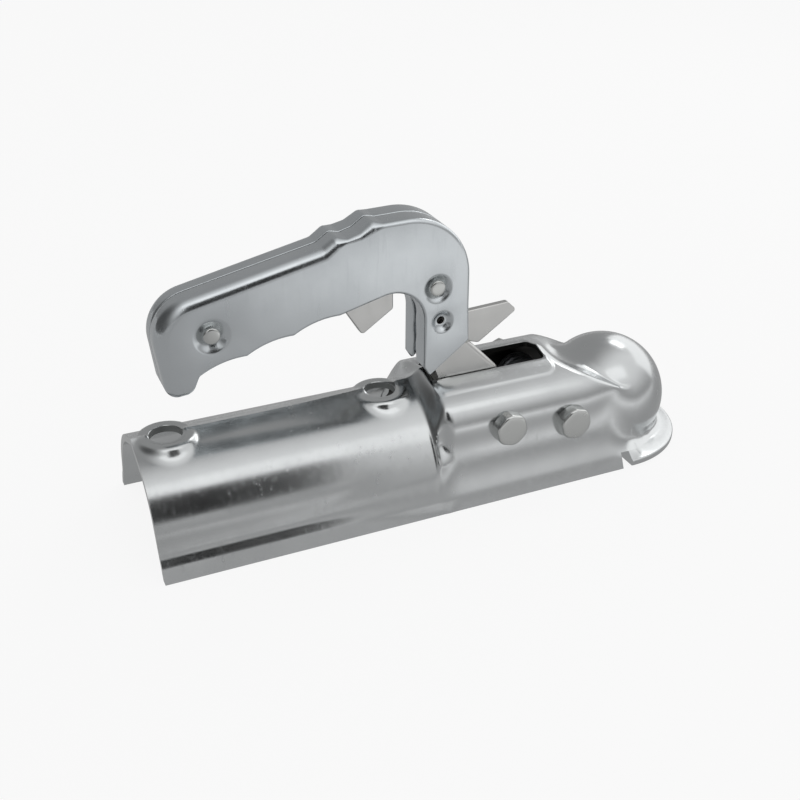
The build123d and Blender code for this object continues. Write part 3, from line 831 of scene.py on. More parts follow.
    def build(self) -> Piece:
        """Makes the housing's sheet from two skins, each a surface of equal signed gap.

        The gap is 0 on the outer skin and one sheet less on the inner. Both are functions of the
        station along the axis and the angle round it, found along the same rays. Cells over the
        slot, the bolt holes and the missing flange are left out, and the rims are closed.

        Returns:
            The new piece.
        """
        start, away, margin = 62.0, 9.0, 2.0
        origin, heading, wall_row = self._rays()
        far = self._trace(origin, heading, start, 0.0, False)
        skin = origin + heading * far[..., None]
        spot = self._openings(skin[..., 0], np.abs(skin[..., 1]))
        spot = np.where(skin[..., 2] > self.opening_z, spot, away)
        kept = spot[:-1, :-1] + spot[1:, :-1] + spot[:-1, 1:] + spot[1:, 1:] > 0.0
        rim = at_corners(~kept, "constant").any(axis=0) & ~at_corners(~kept, "edge").all(axis=0)
        origin, heading, far = self._to_rim((origin, heading, far), skin, spot, rim)
        far = self._trace(origin, heading, far + margin, 0.0, True)
        thick = mix(self.sheet, self.dome_sheet, ease(*self.dome_thin, origin[..., 0]))
        near = self._trace(origin, heading, far, -thick, False)
        outer = origin + heading * far[..., None]
        inner = origin + heading * near[..., None]
        clear = ease(*self.rim_turn, spot)[..., None]
        inner[..., :2] = mix(outer[..., :2], inner[..., :2], clear)
        inner[:, 0, 1] = self.flange_reach - self.sheet / np.cos(np.radians(self.strip_lean))
        inner[:, 0, 2] = self.base_z
        centre_x = (outer[:-1, :1, 0] + outer[1:, :1, 0]) / 2.0
        row = np.arange(kept.shape[1])[None, :]
        kept = kept & ~((centre_x > self.flange_end_x) & (row < wall_row))
        return self._stitch(outer, inner, kept)

    def _stitch(self, outer: Array, inner: Array, kept: Array) -> Piece:
        """Mirrors the half skins, joins them at the rims and makes the piece.

        Args:
            outer: Grid of points of the outer skin, left half.
            inner: Grid of points of the inner skin, left half.
            kept: Which cells of the half grid stay.

        Returns:
            The new piece.
        """
        outer, inner = (
            np.concatenate([half, (half * MIRROR)[:, -2::-1]], axis=1) for half in (outer, inner)
        )
        kept = np.concatenate([kept, kept[:, ::-1]], axis=1)
        rows, columns = outer.shape[:2]
        quads = grid_faces(rows, columns)[kept.ravel()]
        count = rows * columns
        index = np.arange(count).reshape(rows, columns)
        held = np.pad(kept, 1)
        across = held[1:-1, :-1] != held[1:-1, 1:]
        along = held[:-1, 1:-1] != held[1:, 1:-1]
        walls = [
            np.stack([a[mask], b[mask], b[mask] + count, a[mask] + count], axis=-1)
            for a, b, mask in (
                (index[:-1], index[1:], across), (index[:, :-1], index[:, 1:], along)
            )
        ]
        faces = np.concatenate([quads, quads[:, ::-1] + count] + walls)
        used, faces = np.unique(faces, return_inverse=True)
        points = np.concatenate([outer.reshape(-1, 3), inner.reshape(-1, 3)])[used]
        return mesh_piece("housing_skin", points, faces.reshape(-1, 4))

    def dress(self) -> Piece:
        """Builds the housing, hides its plain node, and plates it, with near-black inside the
        head: partly grease, partly painted shade.

        Returns:
            The new piece.
        """
        piece = self.build()
        SHEET_ZINC.dress(piece, Slot.SHEET)
        piece.data.materials.append(GREASE_AND_SHADE_ZINC.material())
        piece.data.materials.append(CUT_ZINC.material())
        middle = face_vectors(piece, "center") / MM
        x, y, z = middle[:, 0], np.abs(middle[:, 1]), middle[:, 2]
        depth = self.gap(middle, False)
        # Faces deep inside the head get the near-black finish: grease plus painted shade of the
        # unlit inside.
        greased_and_shaded = (depth < -0.8 * self.dome_sheet) & (x > self.grease_and_shade_rear_x)
        cut = np.abs(self._openings(x, y)) < self.cut_reach
        cut = cut & (z > self.opening_z) & (depth < -self.cut_reach) & ~greased_and_shaded
        face_finish(piece, greased_and_shaded + 2 * cut)
        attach(piece, Body.HOUSING.value)
        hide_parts("housing")
        return piece


@dataclass
class Brim:
    """The flat brim round the front of the ball cup, which carries on from the wall's foot."""

    housing: Housing
    hub_x: float = -6.0
    reach: float = 39.0
    rear_x: float = -6.7
    mouth_r: float = 24.2
    low_z: float = -17.0
    high_z: float = -14.0
    edge_r: float = 0.9
    overlap: float = 0.6
    sink: float = 0.04

    def _circle(self, start: Array, away: Array, centre_x: float, radius: float) -> Array:
        """Distance from points on the middle plane to a circle, along each direction.

        Args:
            start: X of the points.
            away: Array of directions.
            centre_x: The circle's centre on the X axis.
            radius: The circle's radius.

        Returns:
            Array of distances, one per line.
        """
        toward = (start - centre_x) * away[:, 0]
        return (-toward + np.sqrt(toward**2 - (start - centre_x) ** 2 + radius**2))[:, None]

    def _root(self, along: Array) -> tuple[Array, Array]:
        """The filled corner between the cup's wall and the brim.

        Its points are those whose gaps from both lie on a quarter circle.

        Args:
            along: Stations along the housing.

        Returns:
            Reach and height, a line of points for each station.
        """
        reach, level, slope, root_r = (part[:, None] for part in self.housing.skirt(along))
        turn = np.linspace(0.0, np.pi / 2.0, 14)
        wall = self.housing.dome_r + root_r * (1.0 - np.cos(turn))
        rise = reach * np.sin(slope) + level * np.cos(slope) + root_r * (1.0 - np.sin(turn))
        run = np.sqrt(wall**2 - rise**2)
        out = np.concatenate([rise * np.sin(slope) + run * np.cos(slope), reach], axis=1)
        high = np.concatenate([rise * np.cos(slope) - run * np.sin(slope), level], axis=1)
        return out, high - self.sink

    def build(self) -> Piece:
        """Carries the brim's cross-section, a plate with a filled corner, round the ball.

        Stations run along the axis from the rear edge, then turn about the ball; the inner reach
        lies on the mouth's circle and the outer reach on the brim's own circle.

        Returns:
            The new piece.
        """
        along = np.concatenate([np.linspace(self.rear_x, 0.0, 9), np.linspace(0.0, 45.0, 55)[1:]])
        turn = np.radians(2.0 * np.maximum(along, 0.0))
        start = np.minimum(along, 0.0)
        away = np.stack([np.sin(turn), np.cos(turn)], axis=-1)
        inside = self._circle(start, away, 0.0, self.mouth_r)
        outside = self._circle(start, away, self.hub_x, self.reach)
        bend = np.radians(np.linspace(90.0, 0.0, 6))
        back = self.edge_r * (1.0 - np.cos(np.concatenate([bend, bend[::-1]])))
        high = self.high_z - self.edge_r * (1.0 - np.sin(bend))
        low = self.low_z + self.edge_r * (1.0 - np.sin(bend[::-1]))
        edge = np.broadcast_to(np.concatenate([high, low]), (along.size, back.size))
        root, root_z = self._root(along)
        far = np.concatenate([root[:, :1] - self.overlap, root, outside - back, inside], axis=1)
        rise = np.concatenate(
            [root_z[:, :1], root_z, edge, np.full_like(inside, self.low_z)], axis=1
        )
        points = grid(start[:, None] + far * away[:, :1], far * away[:, 1:], rise)
        points = np.concatenate([points, (points * MIRROR)[-2::-1]])
        rows, columns = points.shape[:2]
        faces = grid_faces(rows, columns, closed=True).tolist()
        faces.append(list(range(columns)))
        faces.append(list(range((rows - 1) * columns, rows * columns)))
        return mesh_piece("brim", points.reshape(-1, 3), faces)

    def dress(self) -> Piece:
        """Builds the brim, plates it and lets it ride with the housing.

        Returns:
            The new piece.
        """
        piece = self.build()
        SHEET_ZINC.dress(piece, Slot.SHEET)
        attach(piece, Body.HOUSING.value)
        return piece


@dataclass
class BoreEdge:
    """The crisp edge of a drilled bolt hole in a pad: a thin collar flush with the pad's face."""

    name: str
    x: float
    bore_r: float = 6.55
    collar_r: float = 7.8
    face_z: float = 24.77
    foot_z: float = 21.9
    chamfer: float = 0.15
    steps: int = 72

    def dress(self) -> Piece:
        """Turns the collar's closed profile of five corners about the hole's upright axis.

        Returns:
            The new piece, its upright faces bare.
        """
        bore, face, edge = self.bore_r, self.face_z, self.chamfer
        reach = np.array([bore, bore, bore + edge, self.collar_r, self.collar_r])
        rise = np.array([self.foot_z, face - edge, face, face, self.foot_z])
        u, v = turned(reach, self.steps)
        points = grid(self.x + u, v, rise[:, None])
        faces = grid_faces(*u.shape, closed=True, looped=True)
        piece = mesh_piece(self.name, points.reshape(-1, 3), faces, sharp=30.0)
        SHEET_ZINC.dress(piece, Slot.SHEET)
        piece.data.materials.append(CUT_ZINC.material())
        face_finish(piece, np.abs(face_vectors(piece, "normal")[:, 2]) < 0.5)
        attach(piece, Body.HOUSING.value)
        return piece


@dataclass(frozen=True)
class Corner:
    """A corner of a side outline: its place, its radius, and how round the pressed edge is."""

    x: float
    z: float
    r: float
    edge: float


@dataclass(frozen=True)
class Dish:
    """A round dish pressed into a shell's face: its place, widths and depth, and any hole."""

    x: float
    z: float
    outer_r: float
    floor_r: float
    depth: float
    hole_r: float = 0.02


GRIP_DISH = Dish(-181.2, 67.1, 7.6, 2.9, 2.0)
NECK_DISH = Dish(-88.8, 70.2, 6.7, 2.9, 2.0)
DIMPLE = Dish(-86.6, 55.3, 5.4, 1.9, 1.85, 1.8)


@dataclass
class HandleShell:
    """One pressed half of the hand lever, the near one or the far one."""

    name: str
    node: str
    side: float
    half: float = 10.0
    sheet: float = 2.0
    step: float = 0.5
    blend: int = 8

    cut_heel: Corner = Corner(-94.5, 36.0, 0.8, 0.8)
    cut_rear: Corner = Corner(-92.0, 32.0, 0.8, 0.5)
    cut_front: Corner = Corner(-74.5, 45.0, 0.8, 0.6)
    window_top: Corner = Corner(-74.5, 57.0, 0.0, 1.6)
    bend: Corner = Corner(-74.5, 101.5, 27.0, 1.9)
    front_dip: Corner = Corner(-111.9, 100.6, 2.4, 1.8)
    front_crest: Corner = Corner(-116.1, 101.59, 2.4, 3.9)
    front_foot: Corner = Corner(-121.6, 97.9, 2.4, 2.6)
    rear_dip: Corner = Corner(-126.6, 96.5, 2.4, 1.8)
    rear_crest: Corner = Corner(-130.8, 97.5, 2.4, 4.2)
    rear_foot: Corner = Corner(-136.3, 93.8, 2.4, 4.6)
    grip_rear: Corner = Corner(-204.0, 79.53, 17.0, 5.2)
    tip_rear: Corner = Corner(-199.5, 42.5, 5.0, 3.0)
    tip_front: Corner = Corner(-189.5, 45.0, 5.0, 2.0)
    finger_start: Corner = Corner(-187.0, 51.28, 1.0, 1.3)
    crook: Corner = Corner(-94.5, 75.2, 14.0, 1.3)
    scallop_pitch: float = 19.5
    scallop_count: int = 3
    scallop_rise: float = 1.4

    seam: float = 0.25
    seam_r: float = 0.45
    window: float = 2.3
    cut_y: float = 8.0
    trigger_rear_x: float = -131.5
    trigger_front_x: float = -102.6
    prong_top_z: float = 55.5
    neck_rear_x: float = -96.0
    neck_spread: float = 0.9
    neck_close: Span = (66.0, 75.0)
    neck_wave: float = 0.30
    neck_wave_rate: float = 0.55

    def corners(self) -> list[Corner]:
        """Lists the corners in order round the outline.

        Returns:
            Corners, anticlockwise seen from the near side.
        """
        return [
            self.cut_rear, self.cut_front, self.window_top, self.bend, self.front_dip,
            self.front_crest, self.front_foot, self.rear_dip, self.rear_crest, self.rear_foot,
            self.grip_rear, self.tip_rear, self.tip_front, self.finger_start, self.crook,
            self.cut_heel,
        ]

    def _arcs(self) -> tuple[Array, Array]:
        """The closed outline as a line of points: an arc at each corner, straight in between.

        Returns:
            Points, and leg, which counts corners along the outline.
        """
        corners = self.corners()
        at = np.array([(c.x, c.z) for c in corners])
        radius = np.array([c.r for c in corners])
        back = unit(np.roll(at, 1, axis=0) - at)
        ahead = unit(np.roll(at, -1, axis=0) - at)
        half_angle = np.arccos(np.clip((back * ahead).sum(axis=1), -1.0, 1.0)) / 2.0
        run = radius / np.tan(half_angle)
        share = np.linspace(-1.0, 1.0, 25)
        sweep = (share * (np.pi / 2.0 - half_angle)[:, None])[..., None]
        inward = unit(back + ahead)
        across = unit(ahead - back)
        centre = at + inward * np.hypot(run, radius)[:, None]
        arc = np.sin(sweep) * across[:, None, :] - np.cos(sweep) * inward[:, None, :]
        radius = radius[:, None, None]
        arc = np.where(radius > 0.0, centre[:, None, :] + radius * arc, at[:, None, :])
        arc_leg = 0.08
        leg = np.arange(len(corners))[:, None] + share * arc_leg
        loop = np.concatenate([arc.reshape(-1, 2), arc[0, :1]])
        return loop, np.concatenate([leg.ravel(), [len(corners) - arc_leg]])

    def outline(self) -> tuple[Array, Array, Array, Array]:
        """Samples the side outline evenly, with the finger scallops worked in as parabolas.

        Returns:
            Points, outward normals, edge rounding, and leg, which counts corners along it.
        """
        corners = self.corners()
        loop, leg = self._arcs()
        length = np.cumsum(np.linalg.norm(np.diff(loop, axis=0), axis=1))
        length = np.concatenate([[0.0], length]) + np.arange(len(loop)) * 1e-7
        s = np.linspace(0.0, length[-1], int(length[-1] / self.step), endpoint=False)
        points = np.stack([np.interp(s, length, loop[:, k]) for k in range(2)], axis=-1)
        leg = np.interp(s, length, leg)
        knot = np.arange(-1, len(corners) + 1)
        edge = np.interp(leg, knot, [corners[k % len(corners)].edge for k in knot])
        tangent = unit(np.roll(points, -1, axis=0) - np.roll(points, 1, axis=0))
        normal = np.stack([tangent[:, 1], -tangent[:, 0]], axis=-1)
        finger = corners.index(self.finger_start)
        start = np.array([self.finger_start.x, self.finger_start.z])
        course = unit(np.array([self.crook.x, self.crook.z]) - start)
        along = (points - start) @ course / self.scallop_pitch
        on = (leg > finger) & (leg < finger + 1) & (along > 0.0) & (along < self.scallop_count)
        wave = 4.0 * self.scallop_rise * np.mod(along, 1.0) * (1.0 - np.mod(along, 1.0))
        points = points - normal * np.where(on, wave, 0.0)[:, None]
        spread = np.arange(-self.blend, self.blend + 1)
        weight = np.cos(spread * np.pi / (2.0 * self.blend + 2.0)) ** 2
        normal = unit(sum(w * np.roll(normal, k, axis=0) for k, w in zip(spread, weight)))
        return points, normal, edge, leg

    def _seam(self, points: Array, leg: Array) -> Array:
        """How far the flange's free edge stands from the middle plane, along the outline.

        It is nearly closed along the grip, a little wavy down the back of the neck, and open for
        the catch plate's two ends and where the lever leaves the shells.

        Args:
            points: Outline points.
            leg: Corner count along the outline.

        Returns:
            Array of distances.
        """
        x, z = points[:, 0], points[:, 1]
        crook = self.corners().index(self.crook)
        neck = self.seam + self.neck_spread * (1.0 - ease(*self.neck_close, z))
        neck = np.maximum(neck + self.neck_wave * np.sin(self.neck_wave_rate * z), self.seam)
        seam = np.where((leg > crook) & (x > self.neck_rear_x), neck, self.seam)
        trigger = (leg > crook - 1.0) & (leg < crook + 0.5)
        trigger = trigger & (x > self.trigger_rear_x) & (x < self.trigger_front_x)
        prong = (leg > 1.0) & (leg < 2.0) & (z < self.prong_top_z)
        seam = np.where(trigger | prong, self.window, seam)
        return np.where((leg > crook + 1.0) | (leg < 1.0), self.cut_y, seam)

    def _dish(self, dish: Dish) -> tuple[Array, Array]:
        """A dish as a polar grid: depth falls from rim to floor along half a cosine wave.

        Args:
            dish: The dish's sizes.

        Returns:
            Points and faces.
        """
        t = np.linspace(0.0, 1.0, 10)
        reach = np.concatenate([mix(dish.outer_r, dish.floor_r, t), [dish.hole_r]])
        depth = dish.depth * np.concatenate([(1.0 - np.cos(np.pi * t)) / 2.0, [1.0]])
        u, v = turned(reach, 48)
        points = grid(dish.x + u, (depth - self.half)[:, None], dish.z + v)
        return points.reshape(-1, 3), grid_faces(*u.shape, closed=True)

    def build(self) -> Piece:
        """Makes the shell: an edge profile carried round the outline, and the dishes.

        The profile runs from the seam along the flange, then round a quarter circle whose radius
        varies along the outline, on to the flat face.

        Returns:
            The new piece.
        """
        points, normal, edge, leg = self.outline()
        seam = self._seam(points, leg)
        curl = np.radians(np.linspace(0.0, 90.0, 4))[:, None]
        flange = np.linspace(0.0, 1.0, 5)[1:-1, None]
        turn = np.radians(np.linspace(0.0, 90.0, 11))[:, None]
        start = seam + self.seam_r
        stop = np.maximum(self.half - edge, start + 0.1)
        round_r = self.half - stop
        rise = np.concatenate([
            start - self.seam_r * np.cos(curl),
            mix(start, stop, flange),
            stop + round_r * np.sin(turn),
        ])
        curled = self.seam_r * (1.0 - np.sin(curl))
        inset = np.concatenate([
            np.broadcast_to(curled, (curl.size, seam.size)),
            np.zeros((flange.size, seam.size)),
            round_r * (1.0 - np.cos(turn)),
        ])
        flat = points - normal * inset[..., None]
        skin = grid(flat[..., 0], -rise, flat[..., 1])
        skin[-1, :, 1] = -self.half
        stacks = [skin.reshape(-1, 3)]
        faces = [grid_faces(*rise.shape, closed=True)]
        for dish in (GRIP_DISH, NECK_DISH, DIMPLE):
            dish_points, dish_faces = self._dish(dish)
            faces.append(dish_faces + sum(len(stack) for stack in stacks))
            stacks.append(dish_points)
        toward = np.array([1.0, -self.side, 1.0])
        return self._close(np.concatenate(stacks) * toward, np.concatenate(faces))

    def _close(self, points: Array, faces: Array) -> Piece:
        """Fills the flat face between edge and dishes, and thickens the sheet.

        Args:
            points: All points of edge and dishes.
            faces: Their quads.

        Returns:
            The new piece, its faces turned outward.
        """
        piece = loose_piece(self.name, points, faces)
        level = self.side * self.half * MM
        with edited(piece.data, 50.0) as work:
            on_face = {v for v in work.verts if abs(v.co.y - level) < 1e-6}
            rim = [e for e in work.edges if e.is_boundary and on_face.issuperset(e.verts)]
            bmesh.ops.triangle_fill(work, use_beauty=True, edges=rim)
            bmesh.ops.recalc_face_normals(work, faces=work.faces)
            flat = [f for f in work.faces if on_face.issuperset(f.verts)]
            if sum(f.normal.y * self.side * f.calc_area() for f in flat) < 0.0:
                bmesh.ops.reverse_faces(work, faces=work.faces)
        thick = piece.modifiers.new("sheet", "SOLIDIFY")
        thick.thickness = self.sheet * MM
        thick.offset = -1.0
        return piece

    def dress(self) -> Piece:
        """Builds the shell, hides the plain node it stands for and plates it.

        Returns:
            The new piece.
        """
        piece = self.build()
        HANDLE_ZINC.dress(piece, Slot.SHEET)
        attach(piece, Body.HANDLE.value)
        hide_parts(self.node)
        return piece


@dataclass
class Rivet:
    """The two heads of a rivet, seated on the floors of its dishes."""

    node: str
    dish: Dish
    half: float = 10.0
    head_r: float = 3.4
    head_height: float = 2.3

    def dress(self) -> Piece:
        """Turns the head's domed profile about the rivet's axis, on both sides.

        Returns:
            The new piece, which hides the plain node.
        """
        reach = np.array([0.006, 0.45, 0.70, 0.84, 0.93, 1.0, 1.0, 0.006]) * self.head_r
        rise = np.array([1.0, 0.99, 0.97, 0.93, 0.85, 0.72, -0.2, -0.2]) * self.head_height
        seat = self.half - self.dish.depth
        u, v = turned(reach, 40)
        near = grid(self.dish.x + u, -(seat + rise)[:, None], self.dish.z + v).reshape(-1, 3)
        points = np.concatenate([near, near * MIRROR])
        faces = grid_faces(*u.shape, closed=True)
        faces = np.concatenate([faces, faces[:, ::-1] + len(near)])
        piece = mesh_piece(self.node + "_heads", points, faces)
        BOLT_ZINC.dress(piece, Slot.BOLT)
        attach(piece, Body.HANDLE.value)
        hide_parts(self.node)
        return piece


@dataclass
class PivotBolt:
    """A pivot bolt: nearly round head on the near wall, shank, and plain tail past the nut."""

    node: str
    x: float
    z: float
    wall: float = 28.75
    head_height: float = 5.0
    head_r: float = 7.1
    flat_r: float = 6.8
    flat_turn: float = 134.4
    face_r: float = 5.9
    edge_r: float = 1.3
    side_height: float = 3.0
    shank_r: float = 5.0
    tail_y: float = 41.75
    tail_edge: float = 0.8
    steps: int = 120

    def dress(self) -> Piece:
        """Carries the head's outline, a hexagon clipped by a circle, and then the round shank.

        Returns:
            The new piece, which hides the plain node.
        """
        angle = np.linspace(0.0, 360.0, self.steps, endpoint=False)
        facet = np.mod(angle - self.flat_turn + 30.0, 60.0) - 30.0
        rim = np.minimum(self.flat_r / np.cos(np.radians(facet)), self.head_r)
        bend = np.radians(np.linspace(0.0, 90.0, 7))
        top = -self.wall - self.head_height
        face = np.array([0.003, 0.35, 0.7]) * self.face_r
        face_y = np.full(face.size, top)
        edge = mix(self.face_r, rim, np.sin(bend)[:, None])
        edge_y = top + self.edge_r * (1.0 - np.cos(bend))
        side_y = [top + self.side_height, -self.wall]
        shank = np.array([self.shank_r] * 3 + [self.shank_r - self.tail_edge, 0.02])
        shank_y = [-self.wall, 0.0, self.tail_y - self.tail_edge, self.tail_y, self.tail_y]
        reach = np.concatenate([
            np.broadcast_to(face[:, None], (face.size, self.steps)),
            edge,
            np.broadcast_to(rim, (len(side_y), self.steps)),
            np.broadcast_to(shank[:, None], (shank.size, self.steps)),
        ])
        y = np.concatenate([face_y, edge_y, side_y, shank_y])
        u, v = turned(reach, self.steps)
        points = grid(self.x + u, y[:, None], self.z + v).reshape(-1, 3)
        piece = mesh_piece(self.node + "_body", points, grid_faces(*u.shape, closed=True))
        BOLT_ZINC.dress(piece, Slot.BOLT)
        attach(piece, Body.HOUSING.value)
        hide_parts(self.node)
        return piece


@dataclass
class SoftenedNode:
    """A plain node shown through a copy whose edges are broken, as on a stamped plate."""

    node: str
    body: Body
    finish: MetalFinish
    slot: Slot
    width: float = 0.5
    sharp: float = 35.0

    def dress(self) -> Piece:
        """Copies the node's mesh, merges its doubled points and bevels its sharp edges.

        Returns:
            The new piece, which hides the plain node.
        """
        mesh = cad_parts[self.node].data.copy()
        mesh.name = self.node + "_soft"
        piece = linked(self.node + "_soft", mesh)
        with edited(mesh, self.sharp) as work:
            bmesh.ops.remove_doubles(work, verts=work.verts, dist=1e-6)
            bmesh.ops.dissolve_limit(
                work, angle_limit=np.radians(0.5), verts=work.verts, edges=work.edges
            )
        soft = piece.modifiers.new("broken_edges", "BEVEL")
        soft.width = self.width * MM
        soft.segments = 2
        soft.limit_method = "ANGLE"
        soft.angle_limit = np.radians(self.sharp)
        soft.use_clamp_overlap = True
        self.finish.dress(piece, self.slot)
        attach(piece, self.body.value)
        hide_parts(self.node)
        return piece


@dataclass
class Studio:
    """A pale table under soft light, cloths for the plating to reflect, and the photo's camera."""

    floor_z: float = -17.2
    floor_half: float = 4000.0
    floor_white: float = 0.88
    runner_half: float = 1750.0
    runner_lift: float = 0.1
    tent_r: float = 1700.0
    aim: Triple = (-100.0, 0.0, 30.0)
    sky_light: float = 0.55
    camera_place: Triple = (-269.4, -383.0, 249.8)
    camera_turn: float = -23.73
    camera_rise: float = 29.04
    lens: float = 51.014

    def _square(self, name: str, half: float, z: float) -> Piece:
        """A level square.

        Args:
            name: Name of the piece.
            half: Half its side.
            z: Its height.

        Returns:
            The new piece.
        """
        corner = half * np.array([[-1.0, -1.0], [1.0, -1.0], [1.0, 1.0], [-1.0, 1.0]])
        return mesh_piece(name, np.column_stack([corner, np.full(4, z)]), [[0, 1, 2, 3]])

    def _table(self) -> bpy.types.Material:
        """Matt grey that shows a share of plain white to the camera and to reflections.

        Returns:
            The material.
        """
        made = bpy.data.materials.new("table")
        made.use_nodes = True
        tree = made.node_tree
        shader = tree.nodes["Principled BSDF"]
        shader.inputs["Base Color"].default_value = (0.86, 0.86, 0.86, 1.0)
        shader.inputs["Roughness"].default_value = 0.9
        white = tree.nodes.new("ShaderNodeEmission")
        share = compute(tree, "MULTIPLY", seen_by(tree, "Camera", "Glossy"), self.floor_white)
        blend = tree.nodes.new("ShaderNodeMixShader")
        tree.links.new(share, blend.inputs["Fac"])
        tree.links.new(shader.outputs["BSDF"], blend.inputs[1])
        tree.links.new(white.outputs["Emission"], blend.inputs[2])
        tree.links.new(blend.outputs["Shader"], tree.nodes["Material Output"].inputs["Surface"])
        return made

    def _cloth(self, name: str, level: float = 1.0) -> bpy.types.Material:
        """Evenly lit cloth.

        Args:
            name: Name of the material.
            level: How bright it looks, where 1 is white.

        Returns:
            The material.
        """
        made = bpy.data.materials.new(name)
        made.use_nodes = True
        tree = made.node_tree
        tree.nodes.remove(tree.nodes["Principled BSDF"])
        glow = tree.nodes.new("ShaderNodeEmission")
        glow.inputs["Color"].default_value = (level, level, level, 1.0)
        tree.links.new(glow.outputs["Emission"], tree.nodes["Material Output"].inputs["Surface"])
        return made

    def _along(self, tree: Tree, axis: Triple, low: float, high: float) -> Socket:
        """Smooth step of the object coordinates along an axis.

        Args:
            tree: Node tree of the material.
            axis: Direction of the step.
            low: Place where the step starts.
            high: Place where the step ends.

        Returns:
            The result socket, 0 to 1.
        """
        dot = tree.nodes.new("ShaderNodeVectorMath")
        dot.operation = "DOT_PRODUCT"
        dot.inputs[1].default_value = axis
        place = tree.nodes.new("ShaderNodeTexCoord").outputs["Object"]
        tree.links.new(place, dot.inputs[0])
        return remap(tree, dot.outputs["Value"], (low * MM, high * MM), kind="SMOOTHSTEP")

    def _only_reflected(self, piece: Piece, cloth: bpy.types.Material) -> None:
        """Gives a stage piece its cloth and leaves it to reflections alone.

        Args:
            piece: The stage piece.
            cloth: Its material.
        """
        piece.data.materials.append(cloth)
        piece.visible_camera = False
        piece.visible_diffuse = False
        piece.visible_shadow = False
        piece.visible_transmission = False

    def floor(self) -> None:
        """Lays the table under the object."""
        piece = self._square("floor", self.floor_half, self.floor_z)
        piece.data.materials.append(self._table())

    def tent(self) -> None:
        """Hangs a half globe over the table that only reflections see.

        Its cloth is pale in front and overhead, and dark on the left.
        """
        size = self.tent_r
        rise = np.radians(np.linspace(1.0, 89.9, 24))
        u, v = turned(size * np.cos(rise), 64)
        points = grid(u, v, size * np.sin(rise)[:, None]).reshape(-1, 3)
        piece = mesh_piece("tent", points, grid_faces(*u.shape, closed=True))
        cloth = self._cloth("tent_cloth")
        tree = cloth.node_tree
        front = self._along(tree, (0.45, -0.90, 0.0), -0.35 * size, 0.35 * size)
        high = self._along(tree, (0.0, 0.0, 1.0), 0.02 * size, 0.65 * size)
        left = self._along(tree, (-1.0, 0.0, 0.0), 0.35 * size, 0.80 * size)
        pale = compute(tree, "MULTIPLY_ADD", compute(tree, "MULTIPLY", front, high), 0.60, 0.38)
        dark = compute(tree, "MULTIPLY_ADD", left, -0.75, 1.0)
        level = compute(tree, "MULTIPLY", pale, dark)
        tree.links.new(level, tree.nodes["Emission"].inputs["Strength"])
        self._only_reflected(piece, cloth)

    def runner(self) -> None:
        """Lays a grey cloth on the table that only reflections see, paler at the front right."""
        piece = self._square("runner", self.runner_half, self.floor_z + self.runner_lift)
        cloth = self._cloth("runner_cloth")
        tree = cloth.node_tree
        right = self._along(tree, (1.0, 0.0, 0.0), -190.0, 10.0)
        front = self._along(tree, (0.0, -1.0, 0.0), 20.0, 220.0)
        beyond = self._along(tree, (0.0, -1.0, 0.0), 260.0, 520.0)
        near = compute(tree, "MULTIPLY_ADD", beyond, -0.85, 1.0)
        pale = compute(tree, "MULTIPLY", compute(tree, "MULTIPLY", right, front), near)
        level = compute(tree, "MULTIPLY_ADD", pale, 0.60, 0.42)
        tree.links.new(level, tree.nodes["Emission"].inputs["Strength"])
        self._only_reflected(piece, cloth)

    def card(self, name: str, place: Triple, size: Span, level: float) -> None:
        """Stands a card facing the object that only reflections see.

        Args:
            name: Name of the card.
            place: Its middle.
            size: Its width and height.
            level: How bright it looks, where 1 is white.
        """
        middle = Vector(place)
        facing = np.array((Vector(self.aim) - middle).to_track_quat("Z", "Y").to_matrix())
        across = facing[:, 0] * size[0] / 2.0
        upward = facing[:, 1] * size[1] / 2.0
        corners = [-across - upward, across - upward, across + upward, upward - across]
        piece = mesh_piece(name, np.array(corners) + np.array(place), [[0, 1, 2, 3]])
        self._only_reflected(piece, self._cloth(name + "_cloth", level))

    def lamp(self, name: str, place: Triple, target: Triple, size: Span, glow: float) -> None:
        """Hangs a soft oblong lamp.

        Args:
            name: Name of the lamp.
            place: Where it hangs.
            target: The point it faces.
            size: Its width and height.
            glow: How bright its face looks, where 1 is white.
        """
        data = bpy.data.lights.new(name, "AREA")
        data.shape = "RECTANGLE"
        data.size, data.size_y = size[0] * MM, size[1] * MM
        data.energy = glow * np.pi * data.size * data.size_y
        made = linked(name, data)
        made.location = Vector(place) * MM
        facing = Vector(target) - Vector(place)
        made.rotation_euler = facing.to_track_quat("-Z", "Y").to_euler()

    def world(self) -> None:
        """Sets a white surround, and a softer one for the light that it gives."""
        made = bpy.data.worlds.new("surround")
        made.use_nodes = True
        tree = made.node_tree
        sky = tree.nodes["Background"]
        sky.inputs["Color"].default_value = (1.0, 1.0, 1.0, 1.0)
        seen = seen_by(tree, "Camera", "Glossy", "Transmission")
        level = remap(tree, seen, (0.0, 1.0), (self.sky_light, 1.0))
        tree.links.new(level, sky.inputs["Strength"])
        bpy.context.scene.world = made

    def camera(self) -> None:
        """Places the photo's camera."""
        data = bpy.data.cameras.new("photo_camera")
        data.lens = self.lens
        data.sensor_width = 36.0
        data.clip_start = 0.01
        made = linked("photo_camera", data)
        turn, rise = np.radians([self.camera_turn, self.camera_rise])
        right = Vector((np.cos(turn), np.sin(turn), 0.0))
        back = Vector((np.sin(turn) * np.cos(rise), -np.cos(turn) * np.cos(rise), np.sin(rise)))
        basis = Matrix((right, back.cross(right), back)).transposed().to_4x4()
        made.matrix_world = Matrix.Translation(Vector(self.camera_place) * MM) @ basis
        bpy.context.scene.camera = made

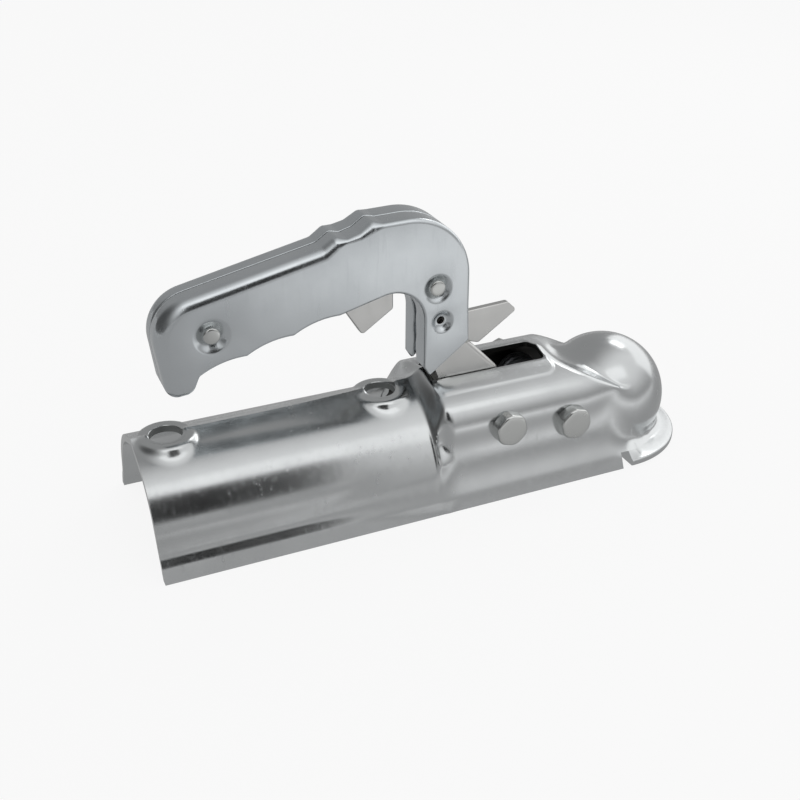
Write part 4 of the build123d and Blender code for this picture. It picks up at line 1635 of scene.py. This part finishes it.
    def set_up(self) -> None:
        """Builds the whole studio."""
        bpy.context.scene.view_settings.view_transform = "Standard"
        self.floor()
        self.tent()
        self.runner()
        self.card("photographer", (-137.0, -270.0, 184.0), (185.0, 200.0), 0.02)
        self.card("side", (742.0, 300.0, 330.0), (900.0, 540.0), 1.3)
        self.world()
        self.lamp("overhead", (-60.0, -480.0, 720.0), (-100.0, 0.0, 20.0), (900.0, 360.0), 0.35)
        self.lamp("right", (640.0, 480.0, 680.0), (-60.0, 0.0, 20.0), (300.0, 300.0), 2.6)
        self.camera()


NODE_FINISHES = {
    "spring": (SPRING_STEEL, Slot.SPRING),
    "bush": (BUSH_STEEL, Slot.BUSH),
    "spacer": (BUSH_STEEL, Slot.BUSH),
    "jaw": (JAW_IRON, Slot.JAW),
    "nut": (BOLT_ZINC, Slot.BOLT),
    "washer": (BOLT_ZINC, Slot.BOLT),
}


def dress_nodes() -> None:
    """Gives every node that still shows the finish of the first listed word in its name."""
    for name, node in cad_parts.items():
        if node.hide_render:
            continue
        finish, slot = next(kind for word, kind in NODE_FINISHES.items() if word in name)
        finish.dress(node, slot)
        log.info("%s: %s", name, finish.name)


def corners(bounds: tuple) -> dict[str, list]:
    """A box as plain lists, from its lowest and highest corner."""
    low, high = bounds
    return {"lo": list(low), "hi": list(high)}


def main() -> None:
    """Builds the object and its studio."""
    logging.basicConfig(level=logging.INFO)
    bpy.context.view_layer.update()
    housing = Housing()
    for assembly in (
        housing,
        Brim(housing),
        HandleShell("handle_near", "handle_right_shell", -1.0),
        HandleShell("handle_far", "handle_left_shell", 1.0),
        Rivet("grip_rivet", GRIP_DISH),
        Rivet("neck_rivet", NECK_DISH),
        BoreEdge("rear_bore_edge", housing.hole_rear_x),
        BoreEdge("front_bore_edge", housing.hole_front_x),
        PivotBolt("rear_bolt", -64.8, 11.7),
        PivotBolt("front_bolt", -33.8, 7.6),
        SoftenedNode("lever", Body.HANDLE, LEVER_ZINC, Slot.LEVER),
        SoftenedNode("catch_plate", Body.CATCH, LEVER_ZINC, Slot.LEVER, 0.4),
    ):
        piece = assembly.dress()
        log.info("%s: %d faces", piece.name, len(piece.data.polygons))
    dress_nodes()
    Studio().set_up()


if __name__ == "__main__":
    main()
